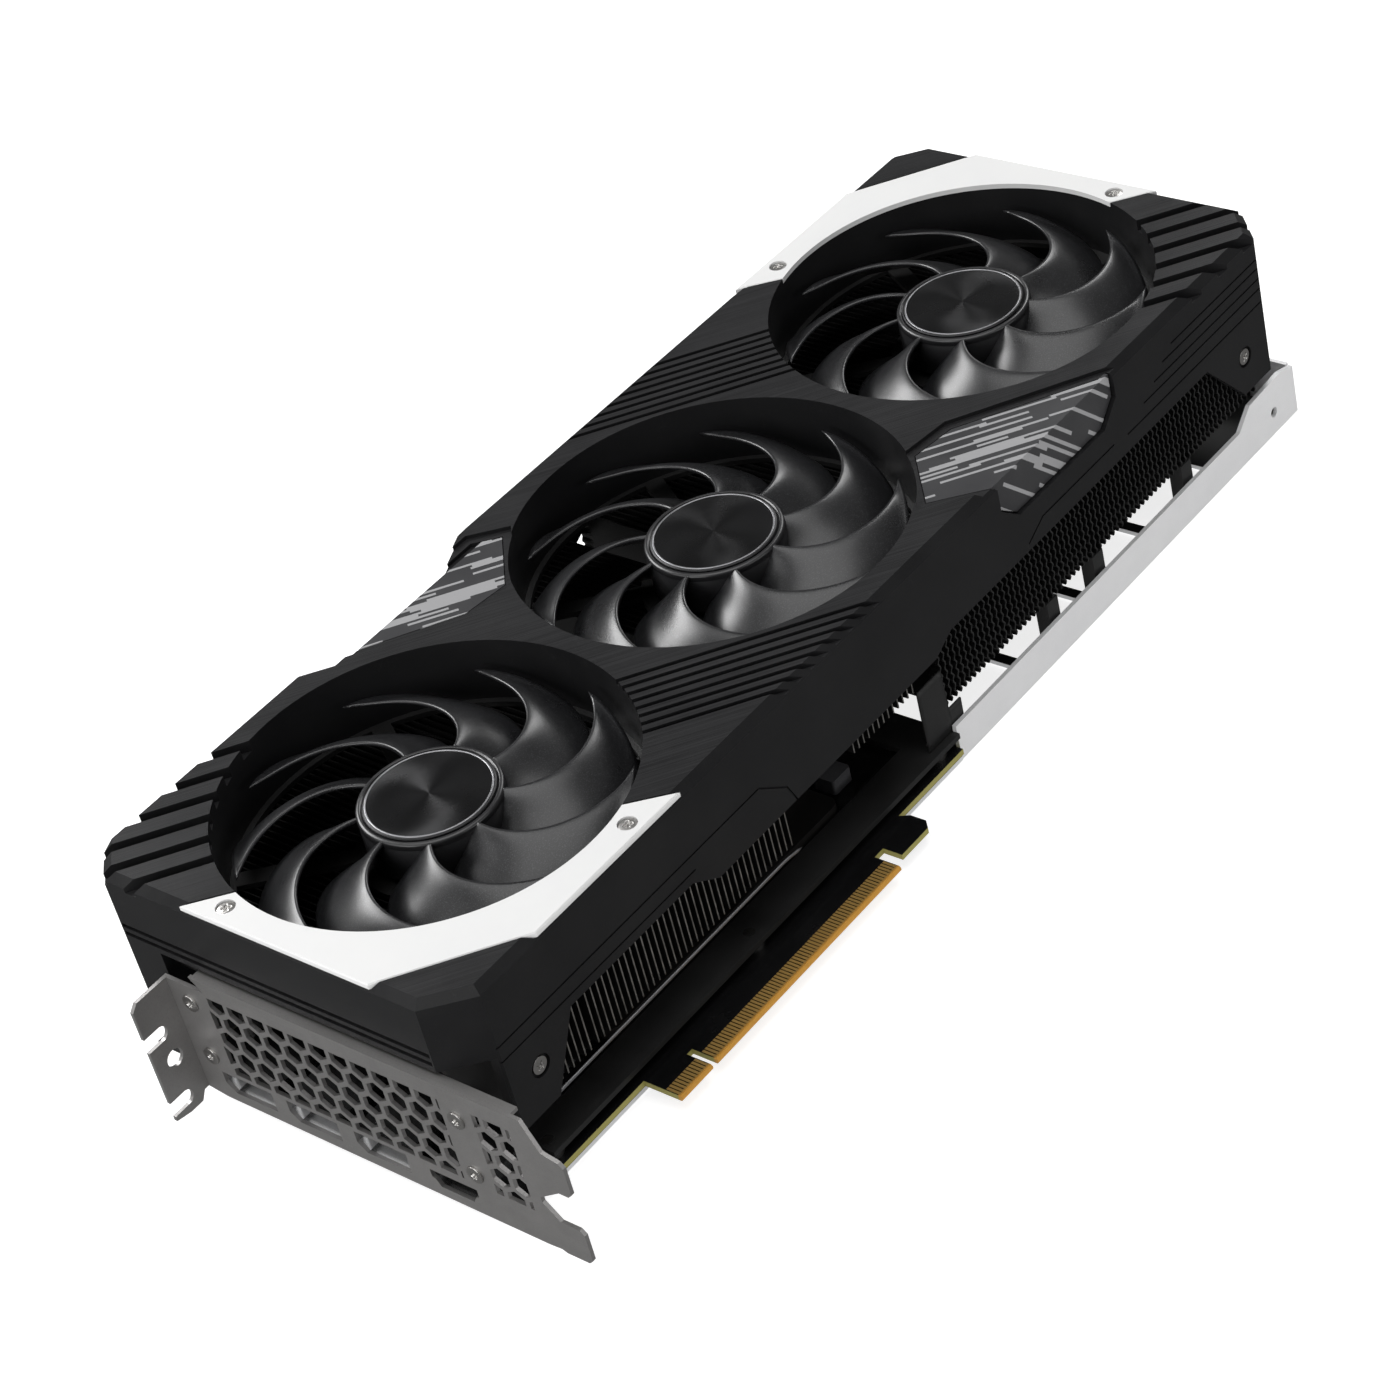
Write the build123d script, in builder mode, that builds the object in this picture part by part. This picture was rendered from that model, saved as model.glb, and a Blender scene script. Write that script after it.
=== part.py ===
"""Triple-fan graphics card, built from separate pieces."""

import os
from math import atan2, cos, degrees, hypot, radians, sin

from build123d import *

os.makedirs("parts", exist_ok=True)

# Overall size, in millimetres. X runs from the bracket to the far end, Y from the edge
# connector to the opposite long edge, Z from the backplate to the fans.
card_length = 344.8
card_height = 142.2
card_thickness = 62.1

# Slot bracket
sheet = 1.0
flange_reach = 11.43
bracket_bottom = 2.1
bracket_width = 39.2
bracket_drop = 120.02
slot_pitch = 20.32
tongue_width = 10.19
tongue_top = 35.5
lip_depth = 3.2
lip_gap = 1.0
vent_across = 5.1
vent_pitch = 6.46
rivet_radius = 1.4

# Circuit board and edge connector
board_thickness = 1.57
board_bottom = 3.1
board_start = 3.0
board_end = 173.0
board_low = -60.1
board_high = 42.0
finger_edge = -71.3
key_x = 59.05
key_width = 1.9
short_length = 11.2
long_length = 71.2
contact_pitch = 1.0
contact_width = 0.7
contact_length = 4.0
contact_height = 0.08
hook_start = 134.6
hook_end = 147.3
hook_edge = -69.2

# Display sockets
port_depth = 15.0
port_wall = 0.35
port_places = [20.0, -1.0, -22.5]
port_width = 16.2
port_height = 5.9
hdmi_place = -44.6
hdmi_width = 14.2
hdmi_height = 4.7

# Processor, memory and power parts on the board
gpu_x = 96.0
gpu_shift = -6.0
package_size = 44.0
package_height = 1.6
die_size = 24.0
die_height = 0.7
chip_length = 14.0
chip_width = 12.0
chip_height = 1.1
chip_reach = 33.0

# Cooler
cold_plate_length = 88.0
cold_plate_width = 84.0
cold_plate_height = 3.0
pipe_radius = 3.0
pipe_pitch = 9.5
pipe_count = 6
pipe_lift = 9.0
fin_thickness = 0.4
fin_pitch = 2.0
fin_top = 43.0
fin_low_front = 20.2
fin_low_mid = 27.4
fin_low_rear = 15.4
fin_gap = 0.6

# Shroud
shroud_start = 2.3
shroud_length = 329.8
shroud_width = 117.6
shroud_wall = 2.0
shroud_top = card_thickness
shroud_bottom = 19.9
top_skin = 4.2
upper_wall = 6.5
edge_bevel = 2.3
corner_cut = 10.0
skirt_low = 33.1
window_top = 38.1
skirt_bottom = 4.0
skirt_end = 104.0
fan_pitch = 106.8
opening_radius = 50.6
ring_wall = 1.5
ring_bottom = 44.5
lean = 38.5
rib_slot = 2.8
rib_pitch = 7.58
rib_depth = 3.0
fine_slot = 1.3
fine_pitch = 3.1
fine_depth = 1.5
trim_height = 1.4
trim_gap = 0.25
panel_height = 1.0

# Fans
blade_count = 9
hub_radius = 17.6
hub_top = 57.6
hub_wall = 1.4
blade_tip = 47.6
blade_thickness = 1.3
shaft_radius = 1.5
running_gap = 0.03
frame_sheet = 1.4
bearing_radius = 3.0
tube_radius = 4.5

# Backplate
plate_thickness = 1.2
flange_height = 10.3
tail_start = 174.0

# Fasteners
screw_radius = 1.5
head_radius = 2.3

# Places worked out from the sizes above
half_length = card_length / 2
half_height = card_height / 2
bracket_x = flange_reach - half_length
fan_y = half_height - shroud_width / 2
flange_y = bracket_drop - half_height
bracket_top = bracket_bottom + bracket_width
mid_x = bracket_x + shroud_start + shroud_length / 2
board_top = board_bottom + board_thickness
fan_places = [mid_x - fan_pitch, mid_x, mid_x + fan_pitch]
package_top = board_top + package_height
die_top = package_top + die_height
cold_top = die_top + cold_plate_height
pipe_low = cold_top + pipe_radius
pipe_high = pipe_low + pipe_lift
gpu_centre = (bracket_x + gpu_x, fan_y + gpu_shift)
across = (sin(radians(lean)), cos(radians(lean)))
half_width = shroud_width / 2


def card(x, y):
    """A point given from the bracket's face and the line through the fans."""
    return (bracket_x + x, fan_y + y)


def from_middle(x, y):
    """A point given from the middle of the shroud."""
    return (mid_x + x, fan_y + y)


def turned(points):
    """The same outline after half a turn about the middle of the shroud."""
    return [(-x, -y) for x, y in points]


def save(piece, name):
    """Label a finished piece and write it out."""
    piece.part.label = name
    export_step(piece.part, f"parts/{name}.step")


def grouped(solid, places):
    """Copies of one solid at a list of places, as one group."""
    return [solid.moved(Location(place)) for place in places]


# ---------------------------------------------------------------- slot bracket
bracket_face = Plane(origin=(bracket_x, 0, 0), x_dir=(0, 1, 0), z_dir=(1, 0, 0))
tip_y = flange_y - bracket_drop
upper_tongue = bracket_bottom + tongue_top - tongue_width / 2 - 5.3
lower_tongue = upper_tongue - slot_pitch
rivet_y = [fan_y + 29.5, fan_y - 53.3]
rivet_z = [bracket_bottom + 13.4, bracket_bottom + 30.0]
rivet_spots = [(y, z) for y in rivet_y for z in rivet_z]
port_low = board_top + port_wall
vent_right = fan_y - 48.9
vent_left = fan_y + 23.4
vent_top = bracket_bottom + 34.3
vent_bottom = port_low + port_height + 1.2
row_pitch = vent_pitch * cos(radians(30))
first_row = bracket_bottom + 32.9
small_left = fan_y - 58.6
small_right = fan_y - 69.6


def port_outline(place):
    """A display socket's mouth: a rectangle with one corner cut."""
    left = fan_y + place + port_width / 2
    right = left - port_width
    low = port_low
    high = port_low + port_height
    return [(right, low), (left - 2.4, low), (left, low + 2.4), (left, high), (right, high)]


hdmi_left = fan_y + hdmi_place + hdmi_width / 2
hdmi_right = hdmi_left - hdmi_width
hdmi_outline = [
    (hdmi_right + 2.2, port_low),
    (hdmi_left - 2.2, port_low),
    (hdmi_left - 1.0, port_low + 2.0),
    (hdmi_left, port_low + 2.4),
    (hdmi_left, port_low + hdmi_height),
    (hdmi_right, port_low + hdmi_height),
    (hdmi_right, port_low + 2.4),
    (hdmi_right + 1.0, port_low + 2.0),
]


def vent_cells(columns, first, skew):
    """Honeycomb cell centres over a few columns, row by row downwards."""
    cells = []
    for row in range(5):
        shift = (row + skew) % 2 * vent_pitch / 2
        for column in range(columns):
            cells.append((first - shift - column * vent_pitch, first_row - row * row_pitch))
    return cells


with BuildPart() as io_bracket:
    with BuildSketch(bracket_face):
        with BuildLine():
            Polyline(
                (flange_y, bracket_bottom + 1.0),
                (flange_y - 7.0, bracket_bottom),
                (tip_y + 12.5, bracket_bottom),
                (tip_y + 9.0, lower_tongue - tongue_width / 2 + 0.6),
                (tip_y + 7.5, lower_tongue - tongue_width / 2),
                (tip_y + 1.2, lower_tongue - tongue_width / 2),
                (tip_y, lower_tongue - tongue_width / 2 + 1.2),
                (tip_y, lower_tongue + tongue_width / 2 - 1.2),
                (tip_y + 1.2, lower_tongue + tongue_width / 2),
                (tip_y + 6.4, lower_tongue + tongue_width / 2),
                (tip_y + 10.4, lower_tongue + slot_pitch / 2 - 0.8),
                (tip_y + 10.4, lower_tongue + slot_pitch / 2 + 0.8),
                (tip_y + 4.0, upper_tongue - tongue_width / 2),
                (tip_y + 1.2, upper_tongue - tongue_width / 2),
                (tip_y, upper_tongue - tongue_width / 2 + 1.2),
                (tip_y, upper_tongue + tongue_width / 2 - 1.2),
                (tip_y + 1.2, upper_tongue + tongue_width / 2),
                (tip_y + 5.8, upper_tongue + tongue_width / 2 + 1.0),
                (tip_y + 9.5, bracket_top),
                (flange_y - 9.8, bracket_top),
                (flange_y - 13.4, bracket_top - 3.6),
                (flange_y, bracket_top - 3.6),
                close=True,
            )
        make_face()
    extrude(amount=sheet)
    # the flange is folded outwards along the top edge
    with BuildSketch(Plane.XZ.offset(-flange_y)):
        with BuildLine():
            Polyline(
                (bracket_x + sheet, bracket_bottom + 1.0),
                (bracket_x + sheet, bracket_top - 3.6),
                (bracket_x - 9.6, bracket_top - 3.6),
                (bracket_x - flange_reach, bracket_top - 5.4),
                (bracket_x - flange_reach, bracket_bottom - 0.5),
                (bracket_x - 7.0, bracket_bottom - 1.4),
                (bracket_x - 3.0, bracket_bottom - 1.4),
                (bracket_x - 1.5, bracket_bottom + 1.0),
                close=True,
            )
        make_face()
    extrude(amount=sheet)
    # a narrow lip folded inwards along the upper edge
    with BuildSketch(Plane.XY.offset(bracket_top - sheet)):
        Polygon(
            (bracket_x, tip_y + 12.5),
            (bracket_x + lip_depth, tip_y + 12.5),
            (bracket_x + lip_depth, flange_y - 10.5),
            (bracket_x, flange_y - 10.5),
            align=None,
        )
    extrude(amount=sheet)
    # two screw notches and one locating hole in the flange
    notch_high = bracket_bottom + 23.3
    notch_low = notch_high - slot_pitch
    with BuildSketch(Plane.XZ.offset(-flange_y)):
        for notch in (notch_high, notch_low):
            with Locations((bracket_x - flange_reach + 1.0, notch)):
                Rectangle(2 * 2.6 + 2.0, 4.2)
            with Locations((bracket_x - flange_reach + 4.6, notch)):
                Circle(2.1)
        with Locations((bracket_x - 5.6, notch_high - 8.4)):
            Circle(2.4)
    extrude(amount=sheet, both=True, mode=Mode.SUBTRACT)
    # honeycomb vents, clipped to two fields
    with BuildSketch(bracket_face):
        with Locations(*vent_cells(13, vent_left, 1)):
            RegularPolygon(vent_across / 2, 6, major_radius=False, rotation=90)
        with Locations(((vent_left + vent_right) / 2, (vent_top + vent_bottom) / 2)):
            Rectangle(vent_left - vent_right, vent_top - vent_bottom, mode=Mode.INTERSECT)
    extrude(amount=sheet, mode=Mode.SUBTRACT)
    with BuildSketch(bracket_face):
        with Locations(*vent_cells(3, small_left + 0.4, 0)):
            RegularPolygon(vent_across / 2, 6, major_radius=False, rotation=90)
        with Locations(((small_left + small_right) / 2, (vent_top + vent_bottom) / 2)):
            Rectangle(small_left - small_right, vent_top - vent_bottom, mode=Mode.INTERSECT)
    extrude(amount=sheet, mode=Mode.SUBTRACT)
    # windows for the display sockets
    with BuildSketch(bracket_face):
        for place in port_places:
            Polygon(*port_outline(place), align=None)
        Polygon(*hdmi_outline, align=None)
        with Locations(*rivet_spots):
            Circle(rivet_radius)
    extrude(amount=sheet, mode=Mode.SUBTRACT)
save(io_bracket, "io_bracket")

with BuildPart() as bracket_screws:
    with BuildSketch(bracket_face):
        with Locations(*rivet_spots):
            Circle(rivet_radius)
    extrude(amount=sheet + 4.0)
    with BuildSketch(bracket_face):
        with Locations(*rivet_spots):
            Circle(head_radius)
    extrude(amount=-0.7)
    chamfer(bracket_screws.edges().group_by(Axis.X)[0], 0.4)
save(bracket_screws, "bracket_screws")

# ---------------------------------------------------------------- display sockets
socket_face = bracket_face.offset(sheet)


def socket(outline):
    """A folded metal shell, open at the bracket, with its back closed."""
    with BuildPart() as shell:
        with BuildSketch(socket_face):
            Polygon(*outline, align=None)
            offset(amount=port_wall, kind=Kind.INTERSECTION, mode=Mode.REPLACE)
        extrude(amount=port_depth)
        with BuildSketch(socket_face):
            Polygon(*outline, align=None)
        extrude(amount=port_depth - 2.0, mode=Mode.SUBTRACT)
    return shell


def tongue(width, height, place):
    """The insulated blade inside a socket."""
    with BuildPart() as blade:
        with BuildSketch(socket_face.offset(port_depth - 2.0)):
            with Locations((fan_y + place, port_low + height * 0.56)):
                Rectangle(width - 3.2, height * 0.24)
        extrude(amount=-(port_depth - 4.0))
    return blade


for number, place in enumerate(port_places, 1):
    save(socket(port_outline(place)), f"displayport_{number}")
with BuildPart() as displayport_tongues:
    add([tongue(port_width, port_height, place).part for place in port_places])
save(displayport_tongues, "displayport_tongues")
save(socket(hdmi_outline), "hdmi_port")
save(tongue(hdmi_width, hdmi_height, hdmi_place), "hdmi_tongue")

# ---------------------------------------------------------------- circuit board
screw_rows = (board_high - 2.8, board_low + 5.0)
screw_spots = [card(x, y) for x in (20.0, 94.0, 168.0) for y in screw_rows]
brace_reach = 32.0
brace_spots = [
    (gpu_centre[0] + i * brace_reach, gpu_centre[1] + j * brace_reach) for i in (-1, 1) for j in (-1, 1)
]

with BuildPart() as circuit_board:
    with BuildSketch(Plane.XY.offset(board_bottom)) as board_outline:
        with BuildLine():
            Polyline(
                card(board_start, board_low),
                card(key_x - key_width / 2 - short_length, board_low),
                card(key_x - key_width / 2 - short_length, finger_edge),
                card(key_x - key_width / 2, finger_edge),
                card(key_x - key_width / 2, finger_edge + 7.5),
                card(key_x + key_width / 2, finger_edge + 7.5),
                card(key_x + key_width / 2, finger_edge),
                card(key_x + key_width / 2 + long_length, finger_edge),
                card(key_x + key_width / 2 + long_length, board_low - 3.5),
                card(hook_start, board_low - 3.5),
                card(hook_start, hook_edge),
                card(hook_end - 2.0, hook_edge),
                card(hook_end, hook_edge + 2.0),
                card(hook_end, board_low - 2.5),
                card(hook_end - 1.5, board_low),
                card(board_end, board_low),
                card(board_end, board_high),
                card(board_start, board_high),
                close=True,
            )
        make_face()
    extrude(amount=board_thickness)
    finger_edges = circuit_board.edges().filter_by(Axis.X).group_by(Axis.Y)[0]
    chamfer(finger_edges, 0.45)
    with BuildSketch(Plane.XY.offset(board_bottom)):
        with Locations(*screw_spots, *brace_spots):
            Circle(screw_radius + 0.1)
    extrude(amount=board_thickness, mode=Mode.SUBTRACT)
save(circuit_board, "circuit_board")

short_contacts = [key_x - key_width / 2 - 0.6 - contact_pitch * i for i in range(11)]
long_contacts = [key_x + key_width / 2 + 0.6 + contact_pitch * i for i in range(71)]
contact_spots = [card(x, finger_edge + 0.8 + contact_length / 2) for x in short_contacts + long_contacts]


def contact_row(level):
    """One gold pad for every way of the edge connector, on one face of the board."""
    with BuildPart() as row:
        with BuildSketch(Plane.XY.offset(level)):
            with Locations(*contact_spots):
                Rectangle(contact_width, contact_length)
        extrude(amount=contact_height)
    return row


save(contact_row(board_top), "edge_contacts_front")
save(contact_row(board_bottom - contact_height), "edge_contacts_back")

# ---------------------------------------------------------------- parts on the board
with BuildPart() as gpu_package:
    with BuildSketch(Plane.XY.offset(board_top)):
        with Locations(gpu_centre):
            Rectangle(package_size, package_size)
    extrude(amount=package_height)
save(gpu_package, "gpu_package")

with BuildPart() as gpu_die:
    with BuildSketch(Plane.XY.offset(package_top)):
        with Locations(gpu_centre):
            Rectangle(die_size, die_size * 0.8)
    extrude(amount=die_height)
save(gpu_die, "gpu_die")

side_chips = [(i * chip_reach, j * 16.0) for i in (-1, 1) for j in (-1, 0, 1)]
edge_chips = [(i * 9.5, chip_reach) for i in (-1, 1)]
chip_spots = [(gpu_centre[0] + x, gpu_centre[1] + y) for x, y in side_chips]
chip_edge_spots = [(gpu_centre[0] + x, gpu_centre[1] + y) for x, y in edge_chips]


def chips(level, height, margin):
    """Memory chips, or the pads on them, on three sides of the processor."""
    with BuildPart() as group:
        with BuildSketch(Plane.XY.offset(level)):
            with Locations(*chip_spots):
                Rectangle(chip_width - margin, chip_length - margin)
            with Locations(*chip_edge_spots):
                Rectangle(chip_length - margin, chip_width - margin)
        extrude(amount=height)
    return group


save(chips(board_top, chip_height, 0), "memory_chips")
save(chips(board_top + chip_height, die_top - board_top - chip_height, 1.0), "thermal_pads")

choke_x = [gpu_x + chip_reach + 20.0, gpu_x - chip_reach - 20.0]
choke_y = [-38.0 + 9.0 * i for i in range(8)]
choke_spots = [card(x, y) for x in choke_x for y in choke_y]
stage_spots = [card(x - 9.0 * (1 if x > gpu_x else -1), y) for x in choke_x for y in choke_y]

with BuildPart() as chokes:
    with BuildSketch(Plane.XY.offset(board_top)):
        with Locations(*choke_spots):
            RectangleRounded(7.0, 7.0, 0.8)
    extrude(amount=4.2)
save(chokes, "chokes")

with BuildPart() as power_stages:
    with BuildSketch(Plane.XY.offset(board_top)):
        with Locations(*stage_spots):
            Rectangle(6.0, 5.0)
    extrude(amount=0.9)
save(power_stages, "power_stages")

can_spots = [card(x + 9.0 * (1 if x > gpu_x else -1), y) for x in choke_x for y in (-20.0, -8.0, 4.0, 16.0)]
with BuildPart() as capacitors:
    with BuildSketch(Plane.XY.offset(board_top)):
        with Locations(*can_spots):
            Circle(3.0)
    extrude(amount=5.6)
    fillet(capacitors.edges().group_by(Axis.Z)[-1], 0.4)
save(capacitors, "capacitors")

# ---------------------------------------------------------------- power inlet
inlet_x = 150.0
inlet_width = 18.6
inlet_height = 6.6
inlet_depth = 12.0
inlet_face = Plane(
    origin=(bracket_x + inlet_x, fan_y + board_high + 3.0, board_top), x_dir=(-1, 0, 0), z_dir=(0, 1, 0)
)
pin_spots = [((i - 2.5) * 3.0, inlet_height / 2 + j * 1.5) for i in range(6) for j in (-1, 1)]

with BuildPart() as power_inlet:
    with BuildSketch(inlet_face):
        with Locations((0, inlet_height / 2)):
            Rectangle(inlet_width, inlet_height)
    extrude(amount=-inlet_depth)
    with BuildSketch(inlet_face):
        with Locations((0, inlet_height / 2)):
            Rectangle(inlet_width - 1.6, inlet_height - 1.6)
    extrude(amount=-(inlet_depth - 3.0), mode=Mode.SUBTRACT)
save(power_inlet, "power_inlet")

with BuildPart() as power_pins:
    with BuildSketch(inlet_face.offset(-(inlet_depth - 3.0))):
        with Locations(*pin_spots):
            Rectangle(0.9, 0.9)
    extrude(amount=5.5)
save(power_pins, "power_pins")

# ---------------------------------------------------------------- cooler
with BuildPart() as cold_plate:
    with BuildSketch(Plane.XY.offset(die_top)):
        with Locations(gpu_centre):
            RectangleRounded(cold_plate_length, cold_plate_width, 3.0)
        with Locations(*brace_spots):
            Circle(screw_radius + 0.3, mode=Mode.SUBTRACT)
    extrude(amount=cold_plate_height)
save(cold_plate, "cold_plate")

pipe_rows = [gpu_shift + (i - (pipe_count - 1) / 2) * pipe_pitch for i in range(pipe_count)]
bend_front = gpu_x - cold_plate_length / 2 + 4.0
bend_rear = gpu_x + cold_plate_length / 2 - 4.0
pipe_start = 18.0
pipe_end = shroud_start + shroud_length - corner_cut - 2.0
pipe_bend = 12.0

with BuildPart() as heat_pipes:
    for row in pipe_rows:
        with BuildLine() as route:
            FilletPolyline(
                (bracket_x + pipe_start, fan_y + row, pipe_high),
                (bracket_x + bend_front - pipe_bend, fan_y + row, pipe_high),
                (bracket_x + bend_front, fan_y + row, pipe_low),
                (bracket_x + bend_rear, fan_y + row, pipe_low),
                (bracket_x + bend_rear + pipe_bend, fan_y + row, pipe_high),
                (bracket_x + pipe_end, fan_y + row, pipe_high),
                radius=pipe_bend,
            )
        with BuildSketch(Plane(origin=route.line @ 0, z_dir=route.line % 0)):
            Circle(pipe_radius)
        sweep(path=route.line)
save(heat_pipes, "heat_pipes")

fin_side = half_width - shroud_wall - fin_gap


def fins(start, end, low, notch_top, pierced):
    """A stack of thin plates across the card; the pipes pass under them or through holes."""
    plane = Plane(origin=(bracket_x + start, fan_y, 0), x_dir=(0, 1, 0), z_dir=(1, 0, 0))
    with BuildPart(mode=Mode.PRIVATE) as fin:
        with BuildSketch(plane):
            with Locations((0, (fin_top + low) / 2)):
                Rectangle(2 * fin_side, fin_top - low)
            if notch_top > low:
                with Locations((gpu_shift, (notch_top + low) / 2)):
                    Rectangle(pipe_pitch * pipe_count + 2.0, notch_top - low, mode=Mode.SUBTRACT)
            if pierced:
                with Locations(*[(row, pipe_high) for row in pipe_rows]):
                    Circle(pipe_radius, mode=Mode.SUBTRACT)
        extrude(amount=fin_thickness)
    count = int((end - start - fin_thickness) / fin_pitch) + 1
    return grouped(fin.part, [(i * fin_pitch, 0, 0) for i in range(count)])


front_end = bend_front - pipe_bend - 5.0
rear_start = tail_start + 1.0
front_fins = fins(shroud_start + 14.0, front_end, fin_low_front, 0, True)
front_notched = fins(front_end + 2.0, 114.5, fin_low_front, pipe_high + pipe_radius + 1.0, False)
middle_fins = fins(140.0, 165.0, fin_low_mid, 0, False)
rear_fins = fins(rear_start, shroud_start + shroud_length - corner_cut - 3.0, fin_low_rear, 0, True)

for name, group in (
    ("fin_stack_front", front_fins + front_notched),
    ("fin_stack_middle", middle_fins),
    ("fin_stack_rear", rear_fins),
):
    with BuildPart() as stack:
        add(group)
    save(stack, name)

with BuildPart() as frame_plate:
    with BuildSketch(Plane.XY.offset(die_top)):
        with Locations(card((17.5 + tail_start) / 2, (board_high + board_low) / 2)):
            Rectangle(tail_start - 17.5, board_high - board_low - 2.0)
        with Locations(gpu_centre):
            Rectangle(cold_plate_length + 46.0, cold_plate_width + 2.0, mode=Mode.SUBTRACT)
        with Locations(card(inlet_x, board_high)):
            Rectangle(inlet_width + 2.0, 24.0, mode=Mode.SUBTRACT)
        with Locations(*screw_spots):
            Circle(screw_radius, mode=Mode.SUBTRACT)
    extrude(amount=1.5)
save(frame_plate, "frame_plate")

# ---------------------------------------------------------------- backplate
lip_x = half_length
tail_edge = half_width - 0.4
vent_start = tail_start + 6.0
vent_end = 299.0
bar_width = 3.2
bar_count = 3
flow_low = -(tail_edge - 2.4)
flow_high = 48.0
post_places = [220.4, 241.0, 282.7]
post_width = 4.6
post_depth = 4.0
support_hole = (321.5, 6.3)

with BuildPart() as backplate:
    with BuildSketch():
        with BuildLine():
            Polyline(
                card(12.0, board_low + 1.5),
                card(tail_start, board_low + 1.5),
                card(tail_start, -tail_edge),
                (lip_x - 1.0, fan_y - tail_edge),
                (lip_x, fan_y - tail_edge + 1.0),
                (lip_x, fan_y + tail_edge - 8.0),
                (lip_x - 8.0, fan_y + tail_edge),
                card(tail_start + 12.0, tail_edge),
                card(tail_start - 6.0, board_high - 2.0),
                card(12.0, board_high - 2.0),
                close=True,
            )
        make_face()
        with Locations(card((vent_start + vent_end) / 2, (flow_low + flow_high) / 2)):
            Rectangle(vent_end - vent_start, flow_high - flow_low, mode=Mode.SUBTRACT)
        with Locations(*screw_spots):
            Circle(screw_radius + 0.1, mode=Mode.SUBTRACT)
    extrude(amount=plate_thickness)
    # straight bars across the flow-through opening
    with BuildSketch():
        with Locations(card((vent_start + vent_end) / 2, (flow_low + flow_high) / 2)):
            with GridLocations((vent_end - vent_start) / (bar_count + 1), 0, bar_count, 1):
                Rectangle(bar_width, flow_high - flow_low)
        # tabs that the posts stand on
        with Locations(*[card(x, -tail_edge + post_depth) for x in post_places]):
            Rectangle(post_width + 1.0, post_depth + 0.4)
    extrude(amount=plate_thickness)
    with BuildSketch():
        with Locations(*screw_spots):
            Circle(head_radius + 0.2)
    extrude(amount=0.7, mode=Mode.SUBTRACT)
save(backplate, "backplate")

with BuildPart() as tail_flange:
    # a flange along the plate's long edge, which rises at the far corner
    with BuildSketch(Plane.XZ.offset(-(fan_y - tail_edge))):
        with BuildLine():
            Polyline(
                (bracket_x + tail_start, plate_thickness),
                (bracket_x + tail_start, flange_height),
                (bracket_x + 305.0, flange_height),
                (bracket_x + 311.0, flange_height + 5.0),
                (bracket_x + 326.0, flange_height + 5.8),
                (lip_x - 1.0, flange_height + 4.0),
                (lip_x - 1.0, plate_thickness),
                close=True,
            )
        make_face()
        with Locations((bracket_x + support_hole[0], support_hole[1])):
            Circle(screw_radius, mode=Mode.SUBTRACT)
    extrude(amount=-plate_thickness)
    # a short lip along the plate's far edge
    with BuildSketch(Plane.XY.offset(plate_thickness)):
        with Locations((lip_x - plate_thickness / 2, fan_y - tail_edge + 14.0)):
            Rectangle(plate_thickness, 24.0)
    extrude(amount=flange_height + 4.0 - plate_thickness)
save(tail_flange, "tail_flange")

with BuildPart() as board_screws:
    with BuildSketch():
        with Locations(*screw_spots):
            Circle(head_radius)
    extrude(amount=0.7)
    with BuildSketch(Plane.XY.offset(0.7)):
        with Locations(*screw_spots):
            Circle(screw_radius)
    extrude(amount=die_top + 1.5 - 0.7)
save(board_screws, "board_screws")

with BuildPart() as board_spacers:
    with BuildSketch(Plane.XY.offset(plate_thickness)):
        with Locations(*screw_spots):
            Circle(3.0)
            Circle(screw_radius + 0.1, mode=Mode.SUBTRACT)
    extrude(amount=board_bottom - plate_thickness)
    with BuildSketch(Plane.XY.offset(board_top)):
        with Locations(*screw_spots):
            Circle(3.0)
            Circle(screw_radius + 0.1, mode=Mode.SUBTRACT)
    extrude(amount=die_top - board_top)
save(board_spacers, "board_spacers")

with BuildPart() as retention_brace:
    with BuildSketch(Plane.XY.offset(board_bottom - 1.0)):
        with Locations(gpu_centre):
            RectangleRounded(2 * brace_reach + 8.0, 2 * brace_reach + 8.0, 4.0)
            RectangleRounded(2 * brace_reach - 10.0, 2 * brace_reach - 10.0, 6.0, mode=Mode.SUBTRACT)
        with Locations(*brace_spots):
            Circle(screw_radius + 0.1, mode=Mode.SUBTRACT)
    extrude(amount=0.9)
save(retention_brace, "retention_brace")

with BuildPart() as spring_screws:
    with BuildSketch(Plane.XY.offset(board_bottom - 1.8)):
        with Locations(*brace_spots):
            Circle(head_radius)
    extrude(amount=0.8)
    with BuildSketch(Plane.XY.offset(board_bottom - 1.0)):
        with Locations(*brace_spots):
            Circle(screw_radius)
    extrude(amount=cold_top - board_bottom + 1.0)
save(spring_screws, "spring_screws")

with BuildPart() as standoffs:
    with BuildSketch(Plane.XY.offset(plate_thickness)):
        with Locations(*[card(x, -tail_edge + post_depth) for x in post_places]):
            Rectangle(post_width, post_depth)
    extrude(amount=fin_low_rear - plate_thickness)
save(standoffs, "standoffs")

# ---------------------------------------------------------------- shroud
half_shroud = shroud_length / 2
wall_planes = [
    Plane(
        origin=(mid_x, fan_y - side * half_width, 0), x_dir=(side, 0, 0), z_dir=(0, -side, 0)
    )
    for side in (1, -1)
]
cavity_top = shroud_top - top_skin
bead = 0.5
step_depth = 3.0
dip_depth = 8.8
dip_start = fan_pitch - 23.0
dip_end = 45.2
trim_screw_spots = [(-half_shroud + 5.0, 13.0), (-fan_pitch + 8.0, -half_width + 4.6)]
side_screw_places = [(21.8, 31.4), (311.5, 30.5)]


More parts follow.
